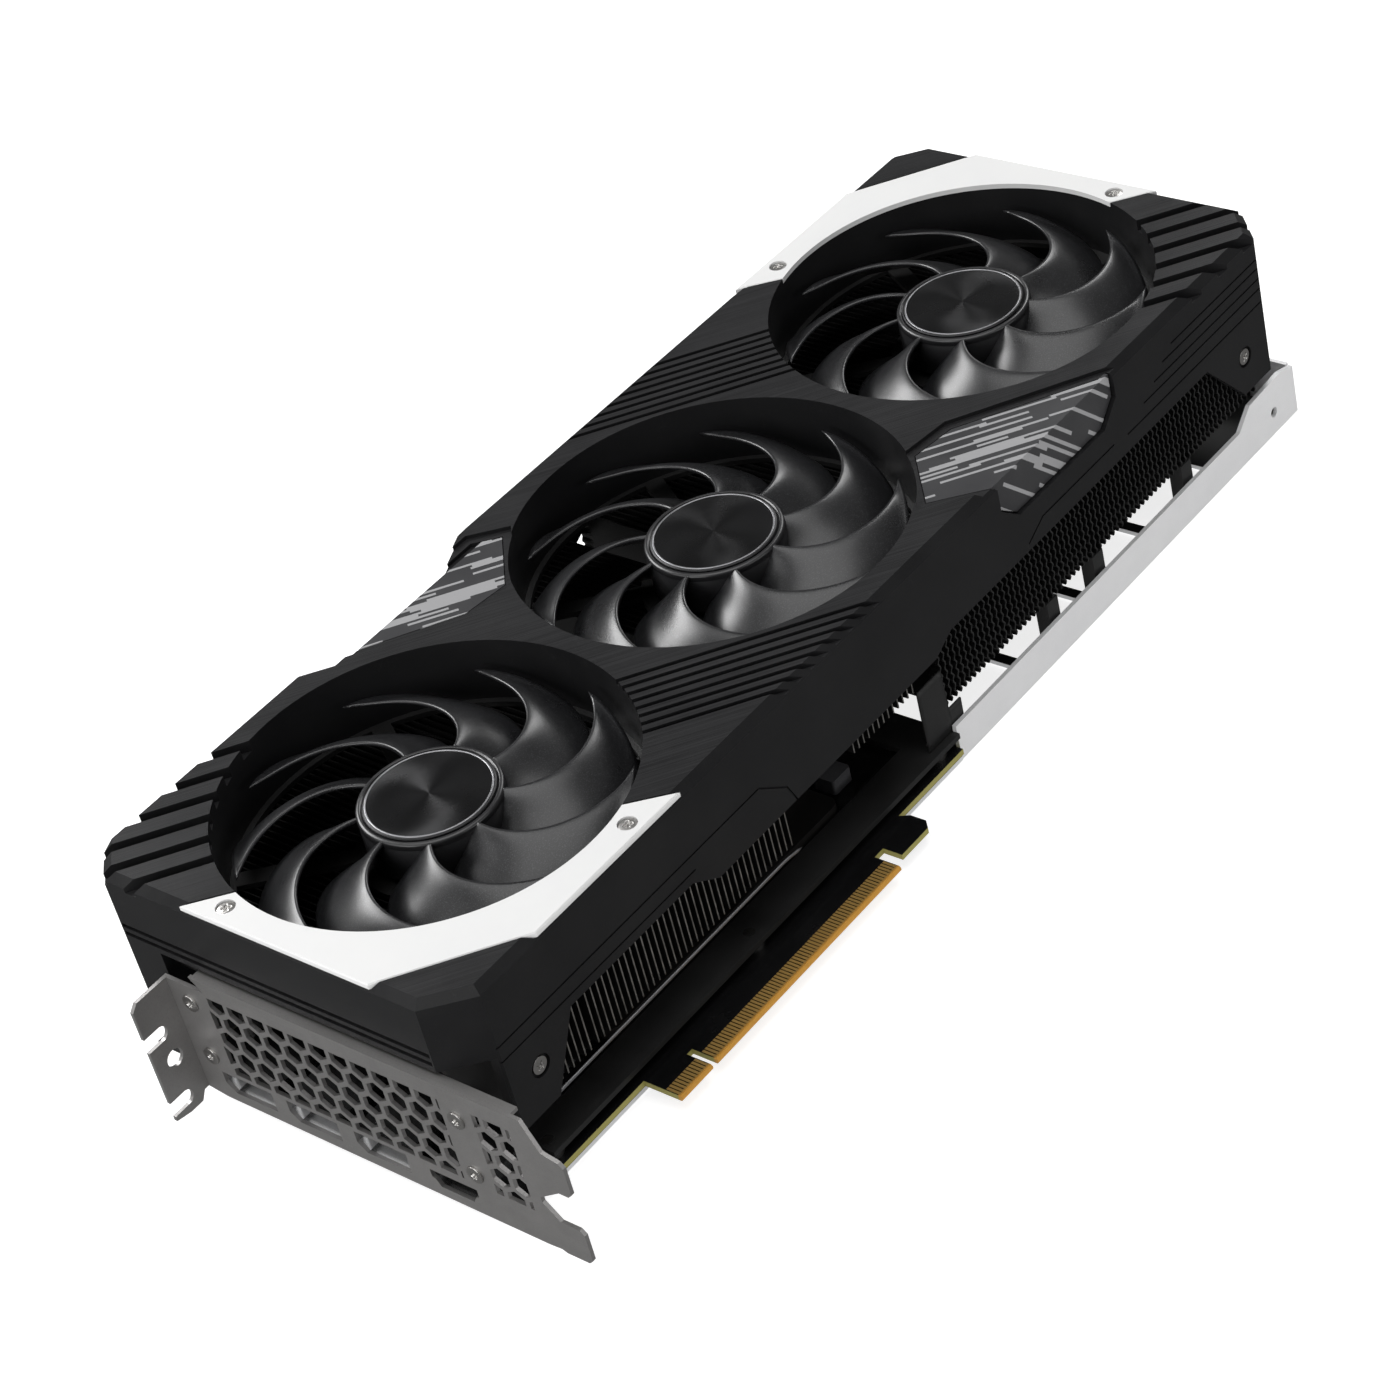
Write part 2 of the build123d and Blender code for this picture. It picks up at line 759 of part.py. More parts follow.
def body_outline():
    """The shroud seen from above, with its four corners cut off."""
    return [
        (-half_shroud, half_width - corner_cut),
        (-half_shroud + corner_cut, half_width),
        (half_shroud - corner_cut + 2.0, half_width),
        (half_shroud, half_width - corner_cut + 2.0),
        (half_shroud, -half_width + corner_cut),
        (half_shroud - corner_cut, -half_width),
        (-half_shroud + corner_cut, -half_width),
        (-half_shroud, -half_width + corner_cut),
    ]


def trim_outline():
    """The white plate before the fan opening is cut from it."""
    return [
        (-half_shroud + 0.4, 23.4),
        (-fan_pitch - 40.0, 6.6),
        (-fan_pitch + 8.0, -44.0),
        (-fan_pitch + 21.5, -half_width + 0.4),
        (-half_shroud + 29.5, -half_width + 0.4),
        (-half_shroud + 0.4, -35.0),
    ]


def panel_outline(edge):
    """The patterned plate between two fans, down to a fold at the given distance."""
    right = 53.9 + (edge - 34.1) * 1.378
    left = 26.1 + (edge - 46.3) * 0.95
    return [(41.1, -32.4), (53.9, -34.1), (right, -edge), (left, -edge), (26.1, -46.3)]


def slot_band(first, pitch, count, width, clip):
    """Parallel slanted slots as one sketch, kept inside a clip rectangle."""
    left, low, right, high = clip
    with BuildSketch(mode=Mode.PRIVATE) as band:
        for step in range(count):
            reach = first + step * pitch
            with Locations(Location((reach * across[0], reach * across[1]), (0, 0, -lean))):
                Rectangle(2 * shroud_length, width)
        with Locations(((left + right) / 2, (low + high) / 2)):
            Rectangle(right - left, high - low, mode=Mode.INTERSECT)
    return band.sketch


thick_slots = slot_band(
    -fan_pitch * across[0] + 33.2 - 5 * rib_pitch, rib_pitch, 6, rib_slot,
    (-half_shroud - 5.0, 22.0, -fan_pitch + 6.0, half_width + 5.0),
)
fine_slots = slot_band(
    -fan_pitch * across[0] - 7.8, fine_pitch, 8, fine_slot,
    (-fan_pitch + 27.0, -half_width - 5.0, 4.0, -14.0),
)
window_path = [
    (24.5, 0),
    (24.5, shroud_bottom),
    (34.5, window_top),
    (78.2, window_top),
    (86.4, skirt_low),
    (171.8, skirt_low),
    (179.0, window_top - 1.3),
    (294.5, window_top - 1.3),
    (309.0, shroud_bottom + 0.6),
    (309.0, 0),
]
far_window_path = [
    (skirt_end, 0),
    (skirt_end, shroud_bottom),
    (skirt_end + 8.0, skirt_low),
    *window_path[5:],
]
far_skirt = [
    (shroud_start + corner_cut, shroud_bottom),
    (shroud_start + corner_cut, skirt_bottom + 4.0),
    (shroud_start + corner_cut + 4.0, skirt_bottom),
    (skirt_end - 8.0, skirt_bottom),
    (skirt_end, skirt_bottom + 8.0),
    (skirt_end, shroud_bottom),
]
to_middle = shroud_start + half_shroud
line_end = shroud_start + shroud_length - corner_cut
scribed_lines = [
    [(12.0, 45.0), (105.0, 45.0), (113.6, 38.6), (116.0, skirt_low)],
    [(12.0, 40.8), (80.0, 40.8)],
    [(213.0, 38.6), (220.0, 42.3), (252.0, 42.3)],
    [(281.0, 54.1), (line_end, 54.1)],
    [(276.4, 51.4), (line_end, 51.4)],
    [(271.8, 48.3), (line_end, 48.3)],
    [(266.4, 45.4), (line_end, 45.4)],
    [(258.0, 41.4), (line_end, 41.4)],
]

with BuildPart() as shroud:
    with BuildSketch(Plane((mid_x, fan_y, shroud_bottom))):
        Polygon(*body_outline(), align=None)
    extrude(amount=shroud_top - shroud_bottom)
    bevel_edges = shroud.faces().sort_by(Axis.Z)[-1].outer_wire().edges()
    chamfer(bevel_edges, edge_bevel * 0.75, edge_bevel)
    with BuildSketch(Plane((mid_x, fan_y, shroud_bottom))):
        Polygon(*body_outline(), align=None)
        offset(amount=-shroud_wall, kind=Kind.INTERSECTION, mode=Mode.REPLACE)
    extrude(amount=ring_bottom - shroud_bottom, mode=Mode.SUBTRACT)
    with BuildSketch(Plane((mid_x, fan_y, ring_bottom))):
        Polygon(*body_outline(), align=None)
        offset(amount=-upper_wall, kind=Kind.INTERSECTION, mode=Mode.REPLACE)
        with GridLocations(fan_pitch, 0, 3, 1):
            Circle(opening_radius + ring_wall, mode=Mode.SUBTRACT)
        with Locations((-(dip_start + dip_end) / 2, half_width - dip_depth)):
            Rectangle(dip_start - dip_end + 16.0, 9.0, mode=Mode.SUBTRACT)
    extrude(amount=cavity_top - ring_bottom, mode=Mode.SUBTRACT)
    # the far long edge steps in beside the first fan, and again at the panel
    with BuildSketch(Plane((mid_x, fan_y, ring_bottom + 2.5))):
        Polygon(
            (-half_shroud - 1.0, half_width + 1.0),
            (-half_shroud - 1.0, half_width - step_depth),
            (-dip_start - 7.0, half_width - step_depth),
            (-dip_start, half_width - dip_depth),
            (-dip_end, half_width - dip_depth),
            (-dip_end + 19.0, half_width),
            (-dip_end + 19.0, half_width + 1.0),
            align=None,
        )
        Polygon(
            (84.0, half_width + 1.0),
            (84.0, half_width),
            (87.0, half_width - step_depth),
            (123.0, half_width - step_depth),
            (126.0, half_width),
            (126.0, half_width + 1.0),
            align=None,
        )
    extrude(amount=shroud_top - ring_bottom, mode=Mode.SUBTRACT)
    # slanted ribs: thick at two corners, fine between the fans, two turned alike
    for turn in (0, 180):
        with BuildSketch(Plane((mid_x, fan_y, shroud_top - rib_depth))):
            with Locations(Location((0, 0), (0, 0, turn))):
                add(thick_slots)
        extrude(amount=rib_depth + 1.0, mode=Mode.SUBTRACT)
        with BuildSketch(Plane((mid_x, fan_y, shroud_top - fine_depth))):
            with Locations(Location((0, 0), (0, 0, turn))):
                add(fine_slots)
        extrude(amount=fine_depth + 1.0, mode=Mode.SUBTRACT)
        # seat of the white trim plate
        with BuildSketch(Plane((mid_x, fan_y, shroud_top - trim_height))):
            with Locations(Location((0, 0), (0, 0, turn))):
                Polygon(*trim_outline(), align=None)
            offset(amount=trim_gap, kind=Kind.INTERSECTION, mode=Mode.REPLACE)
        extrude(amount=trim_height + 1.0, mode=Mode.SUBTRACT)
        # dark groove round the patterned panel, deeper than the panel's seat
        edge = half_width + 2.0 if turn == 0 else half_width - dip_depth + 2.0
        for rim, depth in ((2.6, 1.0), (trim_gap, 1.0 + panel_height)):
            with BuildSketch(Plane((mid_x, fan_y, shroud_top - depth))):
                with Locations(Location((0, 0), (0, 0, turn))):
                    Polygon(*panel_outline(edge), align=None)
                offset(amount=rim, kind=Kind.INTERSECTION, mode=Mode.REPLACE)
            extrude(amount=depth + 1.0, mode=Mode.SUBTRACT)
    with BuildSketch(Plane((mid_x, fan_y, cavity_top))):
        with Locations(*trim_screw_spots, *turned(trim_screw_spots)):
            Circle(screw_radius)
    extrude(amount=top_skin, mode=Mode.SUBTRACT)
    # fan openings
    with BuildSketch(Plane((mid_x, fan_y, ring_bottom - 1.0))):
        with GridLocations(fan_pitch, 0, 3, 1):
            Circle(opening_radius)
    extrude(amount=shroud_top - ring_bottom + 2.0, mode=Mode.SUBTRACT)
    # the long walls stop at a stepped line, so that the fins show below it
    for start, path in ((0.0, window_path), (half_width + 1.0, far_window_path)):
        with BuildSketch(Plane.XZ.offset(-fan_y - start)):
            Polygon(*[(bracket_x + x, z) for x, z in path], align=None)
        extrude(amount=half_width + 1.0, mode=Mode.SUBTRACT)
    # the far wall runs down beside the board, behind the bracket
    with BuildSketch(Plane.XZ.offset(-fan_y - half_width)):
        Polygon(*[(bracket_x + x, z) for x, z in far_skirt], align=None)
    extrude(amount=shroud_wall)
    # the end wall stops above the bracket
    with BuildSketch(Plane.XY.offset(shroud_bottom)):
        Polygon(
            card(shroud_start - 1.0, -half_width - 1.0),
            card(shroud_start + corner_cut - 0.5, -half_width - 1.0),
            card(shroud_start + corner_cut - 0.5, flange_y + sheet - fan_y),
            card(shroud_start - 1.0, flange_y + sheet - fan_y),
            align=None,
        )
    extrude(amount=bracket_top + lip_gap - shroud_bottom, mode=Mode.SUBTRACT)
    # scribed lines and side screw seats
    for side in (0, 1):
        with BuildSketch(wall_planes[side]):
            for line in scribed_lines:
                with BuildLine():
                    Polyline(*[(x - to_middle, z) for x, z in line])
                trace(line_width=bead)
        extrude(amount=-bead, mode=Mode.SUBTRACT)
        with BuildSketch(wall_planes[side]):
            with Locations(*[(x - to_middle, z) for x, z in side_screw_places]):
                Circle(screw_radius)
        extrude(amount=-shroud_wall - 1.0, mode=Mode.SUBTRACT)
        with BuildSketch(wall_planes[side]):
            with Locations(*[(x - to_middle, z) for x, z in side_screw_places]):
                Circle(head_radius + 0.6)
        extrude(amount=-0.8, mode=Mode.SUBTRACT)
    # a pocket for the part of the near panel that turns down the wall
    with BuildSketch(wall_planes[0]):
        Polygon(*[(38.0, shroud_top + 1.0), (38.0, 53.6), (44.5, 48.4), (82.0, 48.4), (88.5, 54.4),
                  (88.5, shroud_top + 1.0)], align=None)
    extrude(amount=-1.0 - panel_height, mode=Mode.SUBTRACT)
    # shallow ribs across the far end wall
    end_wall = Plane(origin=(mid_x + half_shroud, fan_y, 0), x_dir=(0, 1, 0), z_dir=(1, 0, 0))
    with BuildSketch(end_wall):
        with Locations(*[(0, shroud_bottom + 5.0 + 4.4 * i) for i in range(8)]):
            Rectangle(2 * (half_width - corner_cut) - 8.0, 1.4)
    extrude(amount=-0.8, mode=Mode.SUBTRACT)
    # a stepped band along the end wall above the bracket
    near_wall = Plane(origin=(mid_x - half_shroud, fan_y, 0), x_dir=(0, -1, 0), z_dir=(-1, 0, 0))
    for level, height in ((bracket_top + lip_gap + 2.2, 1.2), (bracket_top + lip_gap + 4.6, 1.2)):
        with BuildSketch(near_wall):
            with Locations((0, level)):
                Rectangle(2 * (half_width - corner_cut) - 1.0, height)
        extrude(amount=-0.9, mode=Mode.SUBTRACT)
save(shroud, "shroud")


def trim(turn, name):
    """The white plate beside an end fan, cut to the fan opening."""
    with BuildPart() as plate:
        with BuildSketch(Plane((mid_x, fan_y, shroud_top - trim_height))):
            with Locations(Location((0, 0), (0, 0, turn))):
                Polygon(*trim_outline(), align=None)
            centre = -fan_pitch if turn == 0 else fan_pitch
            with Locations((centre, 0)):
                Circle(opening_radius, mode=Mode.SUBTRACT)
            sign = 1 if turn == 0 else -1
            with Locations(*[(sign * x, sign * y) for x, y in trim_screw_spots]):
                Circle(head_radius + 0.1, mode=Mode.SUBTRACT)
        extrude(amount=trim_height)
        chamfer(plate.edges().group_by(Axis.Z)[-1].filter_by(GeomType.LINE), 0.3)
    save(plate, name)


trim(0, "trim_plate_front")
trim(180, "trim_plate_rear")

with BuildPart() as panel_near:
    with BuildSketch(Plane((mid_x, fan_y, shroud_top - 1.0 - panel_height))):
        Polygon(*panel_outline(half_width - 1.0), align=None)
        Circle(opening_radius + 0.6, mode=Mode.SUBTRACT)
    extrude(amount=panel_height)
    with BuildSketch(wall_planes[0].offset(-1.0)):
        Polygon(*[(38.3, shroud_top - 1.0), (38.3, 53.8), (44.8, 48.8), (81.6, 48.8), (88.0, 54.6),
                  (88.0, shroud_top - 1.0)], align=None)
    extrude(amount=-panel_height)
save(panel_near, "pattern_panel_near")

with BuildPart() as panel_far:
    with BuildSketch(Plane((mid_x, fan_y, shroud_top - 1.0 - panel_height))):
        Polygon(*turned(panel_outline(half_width - dip_depth)), align=None)
        Circle(opening_radius + 0.6, mode=Mode.SUBTRACT)
    extrude(amount=panel_height)
save(panel_far, "pattern_panel_far")

trim_screw_places = [from_middle(x, y) for x, y in trim_screw_spots + turned(trim_screw_spots)]
with BuildPart() as trim_screws:
    with BuildSketch(Plane.XY.offset(cavity_top)):
        with Locations(*trim_screw_places):
            Circle(screw_radius)
    extrude(amount=top_skin - trim_height)
    with BuildSketch(Plane.XY.offset(shroud_top - trim_height)):
        with Locations(*trim_screw_places):
            Circle(head_radius)
    extrude(amount=trim_height - 0.2)
save(trim_screws, "trim_screws")

with BuildPart() as side_screws:
    for wall in wall_planes:
        with BuildSketch(wall.offset(-shroud_wall - 0.3)):
            with Locations(*[(x - to_middle, z) for x, z in side_screw_places]):
                Circle(screw_radius)
        extrude(amount=shroud_wall - 0.5)
        with BuildSketch(wall.offset(-0.8)):
            with Locations(*[(x - to_middle, z) for x, z in side_screw_places]):
                Circle(head_radius)
        extrude(amount=0.7)
save(side_screws, "side_screws")

# ---------------------------------------------------------------- fans
frame_low = ring_bottom - frame_sheet
frame_ring = opening_radius + ring_wall
hub_low = ring_bottom + 1.6
stator_low = ring_bottom + 1.4
magnet_inner = 14.4
blade_low = 47.0
blade_root_top = 57.0
blade_tip_top = 54.8
blade_turn = [29.0, 3.0, 22.0]
# distance from the axis, lead of the front edge in degrees, and angle that the blade covers
blade_rows = [
    (hub_radius - 0.9, -46.0, 29.0),
    (27.0, -38.5, 33.0),
    (37.0, -22.0, 34.0),
    (blade_tip, 0.0, 29.0),
]


def blade_plane(row, centre, turn):
    """The plane across one blade at one distance from the axis, and the blade's size there."""
    radius, lead, cover = row
    share = (radius - blade_rows[0][0]) / (blade_tip - blade_rows[0][0])
    top = blade_root_top + (blade_tip_top - blade_root_top) * share
    angle = radians(turn + lead - cover / 2)
    chord = 2 * radius * sin(radians(cover / 2))
    rise = top - blade_low
    outward = Vector(cos(angle), sin(angle), 0)
    along = Vector(-sin(angle), cos(angle), 0)
    flat = radius * cos(radians(cover / 2))
    origin = Vector(*centre, (top + blade_low) / 2) + outward * flat
    pitch = degrees(atan2(rise, chord))
    plane = Plane(origin=origin, x_dir=along, z_dir=outward)
    return plane.rotated((0, 0, pitch)), hypot(rise, chord)


for number, place in enumerate(fan_places, 1):
    centre = (place, fan_y)
    with BuildPart() as fan_frame:
        with BuildSketch(Plane((place, fan_y, frame_low))):
            Circle(frame_ring)
            Circle(opening_radius - 1.6, mode=Mode.SUBTRACT)
            Circle(21.0)
            with PolarLocations((opening_radius + 18.0) / 2, 5, start_angle=60.0):
                Rectangle(opening_radius - 16.0, 5.0)
        extrude(amount=frame_sheet)
        with BuildSketch(Plane((place, fan_y, frame_low))):
            Circle(tube_radius)
        extrude(amount=frame_sheet + 8.0)
        with BuildSketch(Plane((place, fan_y, frame_low + 0.8))):
            Circle(bearing_radius)
        extrude(amount=frame_sheet + 8.0, mode=Mode.SUBTRACT)
    save(fan_frame, f"fan_frame_{number}")

    with BuildPart() as stator:
        with BuildSketch(Plane((place, fan_y, stator_low))):
            Circle(7.5)
            with PolarLocations(9.5, 6):
                Rectangle(6.0, 3.0)
            with PolarLocations(12.6, 6):
                Rectangle(1.6, 9.0)
            Circle(magnet_inner - 0.5, mode=Mode.INTERSECT)
            Circle(tube_radius, mode=Mode.SUBTRACT)
        extrude(amount=5.0)
    save(stator, f"fan_stator_{number}")

    with BuildPart() as impeller:
        with BuildSketch(Plane((place, fan_y, hub_low))):
            Circle(hub_radius)
        extrude(amount=hub_top - hub_low)
        fillet(impeller.edges().group_by(Axis.Z)[-1], 0.9)
        with BuildSketch(Plane((place, fan_y, hub_low))):
            Circle(hub_radius - hub_wall)
        extrude(amount=hub_top - hub_low - 1.6, mode=Mode.SUBTRACT)
        with BuildSketch(Plane((place, fan_y, hub_top - 4.0))):
            Circle(3.4)
        extrude(amount=3.0)
        for step in range(blade_count):
            turn = blade_turn[number - 1] + 360.0 / blade_count * step
            for row in blade_rows:
                plane, width = blade_plane(row, centre, turn)
                with BuildSketch(plane):
                    Rectangle(width, blade_thickness)
            loft()
        with BuildSketch(Plane((place, fan_y, hub_low))):
            Circle(blade_tip - 0.2)
        extrude(amount=hub_top - hub_low, mode=Mode.INTERSECT)
        with BuildSketch(Plane((place, fan_y, hub_low))):
            Circle(hub_radius - hub_wall)
            Circle(3.4, mode=Mode.SUBTRACT)
        extrude(amount=hub_top - hub_low - 1.6, mode=Mode.SUBTRACT)
        with BuildSketch(Plane((place, fan_y, hub_low))):
            Circle(3.4)
        extrude(amount=hub_top - 4.0 - hub_low, mode=Mode.SUBTRACT)
        with BuildSketch(Plane((place, fan_y, hub_low))):
            Circle(shaft_radius)
        extrude(amount=hub_top - hub_low - 1.0, mode=Mode.SUBTRACT)
    save(impeller, f"impeller_{number}")

    with BuildPart() as hub_cap:
        with BuildSketch(Plane((place, fan_y, hub_top))):
            Circle(hub_radius - 1.6)
        extrude(amount=0.5)
        chamfer(hub_cap.edges().group_by(Axis.Z)[-1], 0.2)
    save(hub_cap, f"hub_cap_{number}")

    with BuildPart() as magnet:
        with BuildSketch(Plane((place, fan_y, hub_low + 0.4))):
            Circle(hub_radius - hub_wall)
            Circle(magnet_inner, mode=Mode.SUBTRACT)
        extrude(amount=6.0)
    save(magnet, f"rotor_magnet_{number}")

    with BuildPart() as shaft:
        with BuildSketch(Plane((place, fan_y, frame_low + 1.2))):
            Circle(shaft_radius)
        extrude(amount=hub_top - 1.0 - frame_low - 1.2)
    save(shaft, f"fan_shaft_{number}")

with BuildPart() as fan_bearings:
    with BuildSketch(Plane.XY.offset(frame_low + 0.8)):
        with Locations(*[(place, fan_y) for place in fan_places]):
            Circle(bearing_radius)
            Circle(shaft_radius + running_gap, mode=Mode.SUBTRACT)
    extrude(amount=frame_sheet + 7.2)
save(fan_bearings, "fan_bearings")
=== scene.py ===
from math import cos, pi, radians, sin

import bmesh
import bpy
import numpy as np
from mathutils import Matrix, Vector


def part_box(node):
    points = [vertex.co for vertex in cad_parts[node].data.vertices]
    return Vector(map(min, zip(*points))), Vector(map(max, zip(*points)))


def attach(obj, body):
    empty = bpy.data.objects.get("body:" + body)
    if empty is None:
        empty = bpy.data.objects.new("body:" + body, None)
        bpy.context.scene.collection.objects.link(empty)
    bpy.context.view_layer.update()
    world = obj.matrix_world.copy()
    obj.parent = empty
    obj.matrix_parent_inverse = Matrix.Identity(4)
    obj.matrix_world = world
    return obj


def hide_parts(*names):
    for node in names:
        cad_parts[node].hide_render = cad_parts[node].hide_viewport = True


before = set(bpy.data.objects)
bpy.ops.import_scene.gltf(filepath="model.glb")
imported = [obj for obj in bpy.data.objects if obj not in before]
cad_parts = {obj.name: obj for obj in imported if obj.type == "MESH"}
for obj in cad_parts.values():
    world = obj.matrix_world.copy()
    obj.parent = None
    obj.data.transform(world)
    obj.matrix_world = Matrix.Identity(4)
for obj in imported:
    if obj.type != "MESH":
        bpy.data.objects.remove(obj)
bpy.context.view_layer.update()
mm = 0.001

# lines that the other pieces are measured from, in millimetres
shroudLow, shroudHigh = [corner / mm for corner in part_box("shroud")]
midX = (shroudLow.x + shroudHigh.x) / 2
fanY = (shroudLow.y + shroudHigh.y) / 2
topZ = shroudHigh.z
bracketSheet = 1.0
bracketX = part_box("displayport_1")[0].x / mm - bracketSheet
fanX = [sum(corner.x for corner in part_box(f"hub_cap_{n}")) / 2 / mm for n in (1, 2, 3)]
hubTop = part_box("hub_cap_1")[0].z / mm
print("stage: frame loaded")


# helpers that build material nodes

def addNode(tree, kind, sockets=None, **settings):
    node = tree.nodes.new(kind)
    for key, value in settings.items():
        setattr(node, key, value)
    for key, value in (sockets or {}).items():
        if isinstance(value, bpy.types.NodeSocket):
            tree.links.new(value, node.inputs[key])
        else:
            node.inputs[key].default_value = value
    return node


def doMath(tree, operation, a, b=0.0):
    return addNode(tree, "ShaderNodeMath", {0: a, 1: b}, operation=operation).outputs[0]


def remap(tree, value, low, high, toLow=0.0, toHigh=1.0):
    return addNode(tree, "ShaderNodeMapRange", {"Value": value, "From Min": low, "From Max": high,
                   "To Min": toLow, "To Max": toHigh}).outputs[0]


def mixColour(tree, factor, a, b):
    node = addNode(tree, "ShaderNodeMix", data_type="RGBA")
    for index, value in ((0, factor), (6, a), (7, b)):
        if isinstance(value, bpy.types.NodeSocket):
            tree.links.new(value, node.inputs[index])
        elif index:
            node.inputs[index].default_value = (*value, 1.0)
        else:
            node.inputs[index].default_value = value
    return node.outputs[2]


def startGroup(name, inputs, outputs):
    group = bpy.data.node_groups.new(name, "ShaderNodeTree")
    for label, kind, value in inputs:
        socket = group.interface.new_socket(label, in_out="INPUT", socket_type=kind)
        if value is not None:
            socket.default_value = value
    for label in outputs:
        group.interface.new_socket(label, in_out="OUTPUT", socket_type="NodeSocketFloat")
    return group, group.nodes.new("NodeGroupInput").outputs, group.nodes.new("NodeGroupOutput").inputs


vectorKind, floatKind = "NodeSocketVector", "NodeSocketFloat"


def makeMottle():
    # soft patches of tone, as a factor from 0 to 1
    group, given, result = startGroup("softMottle", [("Vector", vectorKind, None), ("Scale", floatKind, 0.05),
                                      ("Contrast", floatKind, 0.5)], ["Factor"])
    cloud = addNode(group, "ShaderNodeTexNoise", {"Vector": given["Vector"], "Scale": given["Scale"],
                    "Detail": 5.0, "Roughness": 0.6}).outputs[0]
    half = doMath(group, "MULTIPLY", given["Contrast"], 0.5)
    low = doMath(group, "SUBTRACT", 0.75, half)
    high = doMath(group, "ADD", 0.25, half)
    start, stop = doMath(group, "MULTIPLY", low, 0.66), doMath(group, "ADD", high, 0.16)
    group.links.new(remap(group, cloud, start, stop), result["Factor"])
    return group


def makeGrain():
    # moulded or blasted grain, as a height in millimetres and a speckle mask
    group, given, result = startGroup("fineGrain", [("Vector", vectorKind, None), ("Scale", floatKind, 3.0),
                                      ("Depth", floatKind, 0.02)], ["Height", "Speckle"])
    noise = addNode(group, "ShaderNodeTexNoise", {"Vector": given["Vector"], "Scale": given["Scale"],
                    "Detail": 3.0, "Roughness": 0.7}).outputs[0]
    cells = addNode(group, "ShaderNodeTexVoronoi",
                    {"Vector": given["Vector"], "Scale": given["Scale"]}).outputs[0]
    both = doMath(group, "ADD", noise, doMath(group, "MULTIPLY", cells, 0.5))
    group.links.new(doMath(group, "MULTIPLY", both, given["Depth"]), result["Height"])
    group.links.new(remap(group, noise, 0.52, 0.72), result["Speckle"])
    return group


def makeHairlines():
    # straight brushed lines: noise drawn out along one direction of the XY plane
    group, given, result = startGroup("hairlines", [("Vector", vectorKind, None), ("Angle", floatKind, 0.0),
                                      ("Density", floatKind, 6.0), ("Depth", floatKind, 0.02)],
                                      ["Height", "Line"])
    turned = addNode(group, "ShaderNodeVectorRotate", {"Vector": given["Vector"], "Angle": given["Angle"]},
                     rotation_type="Z_AXIS").outputs[0]
    parts = addNode(group, "ShaderNodeSeparateXYZ", {"Vector": turned}).outputs
    drawn = addNode(group, "ShaderNodeCombineXYZ", {"X": doMath(group, "MULTIPLY", parts[0], 0.03),
                    "Y": doMath(group, "MULTIPLY", parts[1], given["Density"]),
                    "Z": doMath(group, "MULTIPLY", parts[2], given["Density"])}).outputs[0]
    noise = addNode(group, "ShaderNodeTexNoise", {"Vector": drawn, "Scale": 1.0, "Detail": 2.0}).outputs[0]
    group.links.new(doMath(group, "MULTIPLY", noise, given["Depth"]), result["Height"])
    group.links.new(remap(group, noise, 0.35, 0.65), result["Line"])
    return group


def makeScuffs():
    # sparse thin scratches and rubbed spots, as a mask
    group, given, result = startGroup("scuffs", [("Vector", vectorKind, None), ("Scale", floatKind, 0.3),
                                      ("Amount", floatKind, 0.3)], ["Mask"])
    bent = addNode(group, "ShaderNodeTexNoise", {"Vector": given["Vector"], "Scale": given["Scale"],
                   "Detail": 2.0, "Distortion": 1.5}).outputs[0]
    line = doMath(group, "ABSOLUTE", doMath(group, "SUBTRACT", bent, 0.5))
    thin = remap(group, line, 0.0, 0.006, 1.0, 0.0)
    patch = addNode(group, "ShaderNodeTexNoise",
                    {"Vector": given["Vector"], "Scale": 0.06, "Detail": 3.0}).outputs[0]
    group.links.new(doMath(group, "MULTIPLY", doMath(group, "MULTIPLY", thin, remap(group, patch, 0.5, 0.62)),
                           given["Amount"]), result["Mask"])
    return group


softMottle, fineGrain, hairlines, scuffs = makeMottle(), makeGrain(), makeHairlines(), makeScuffs()


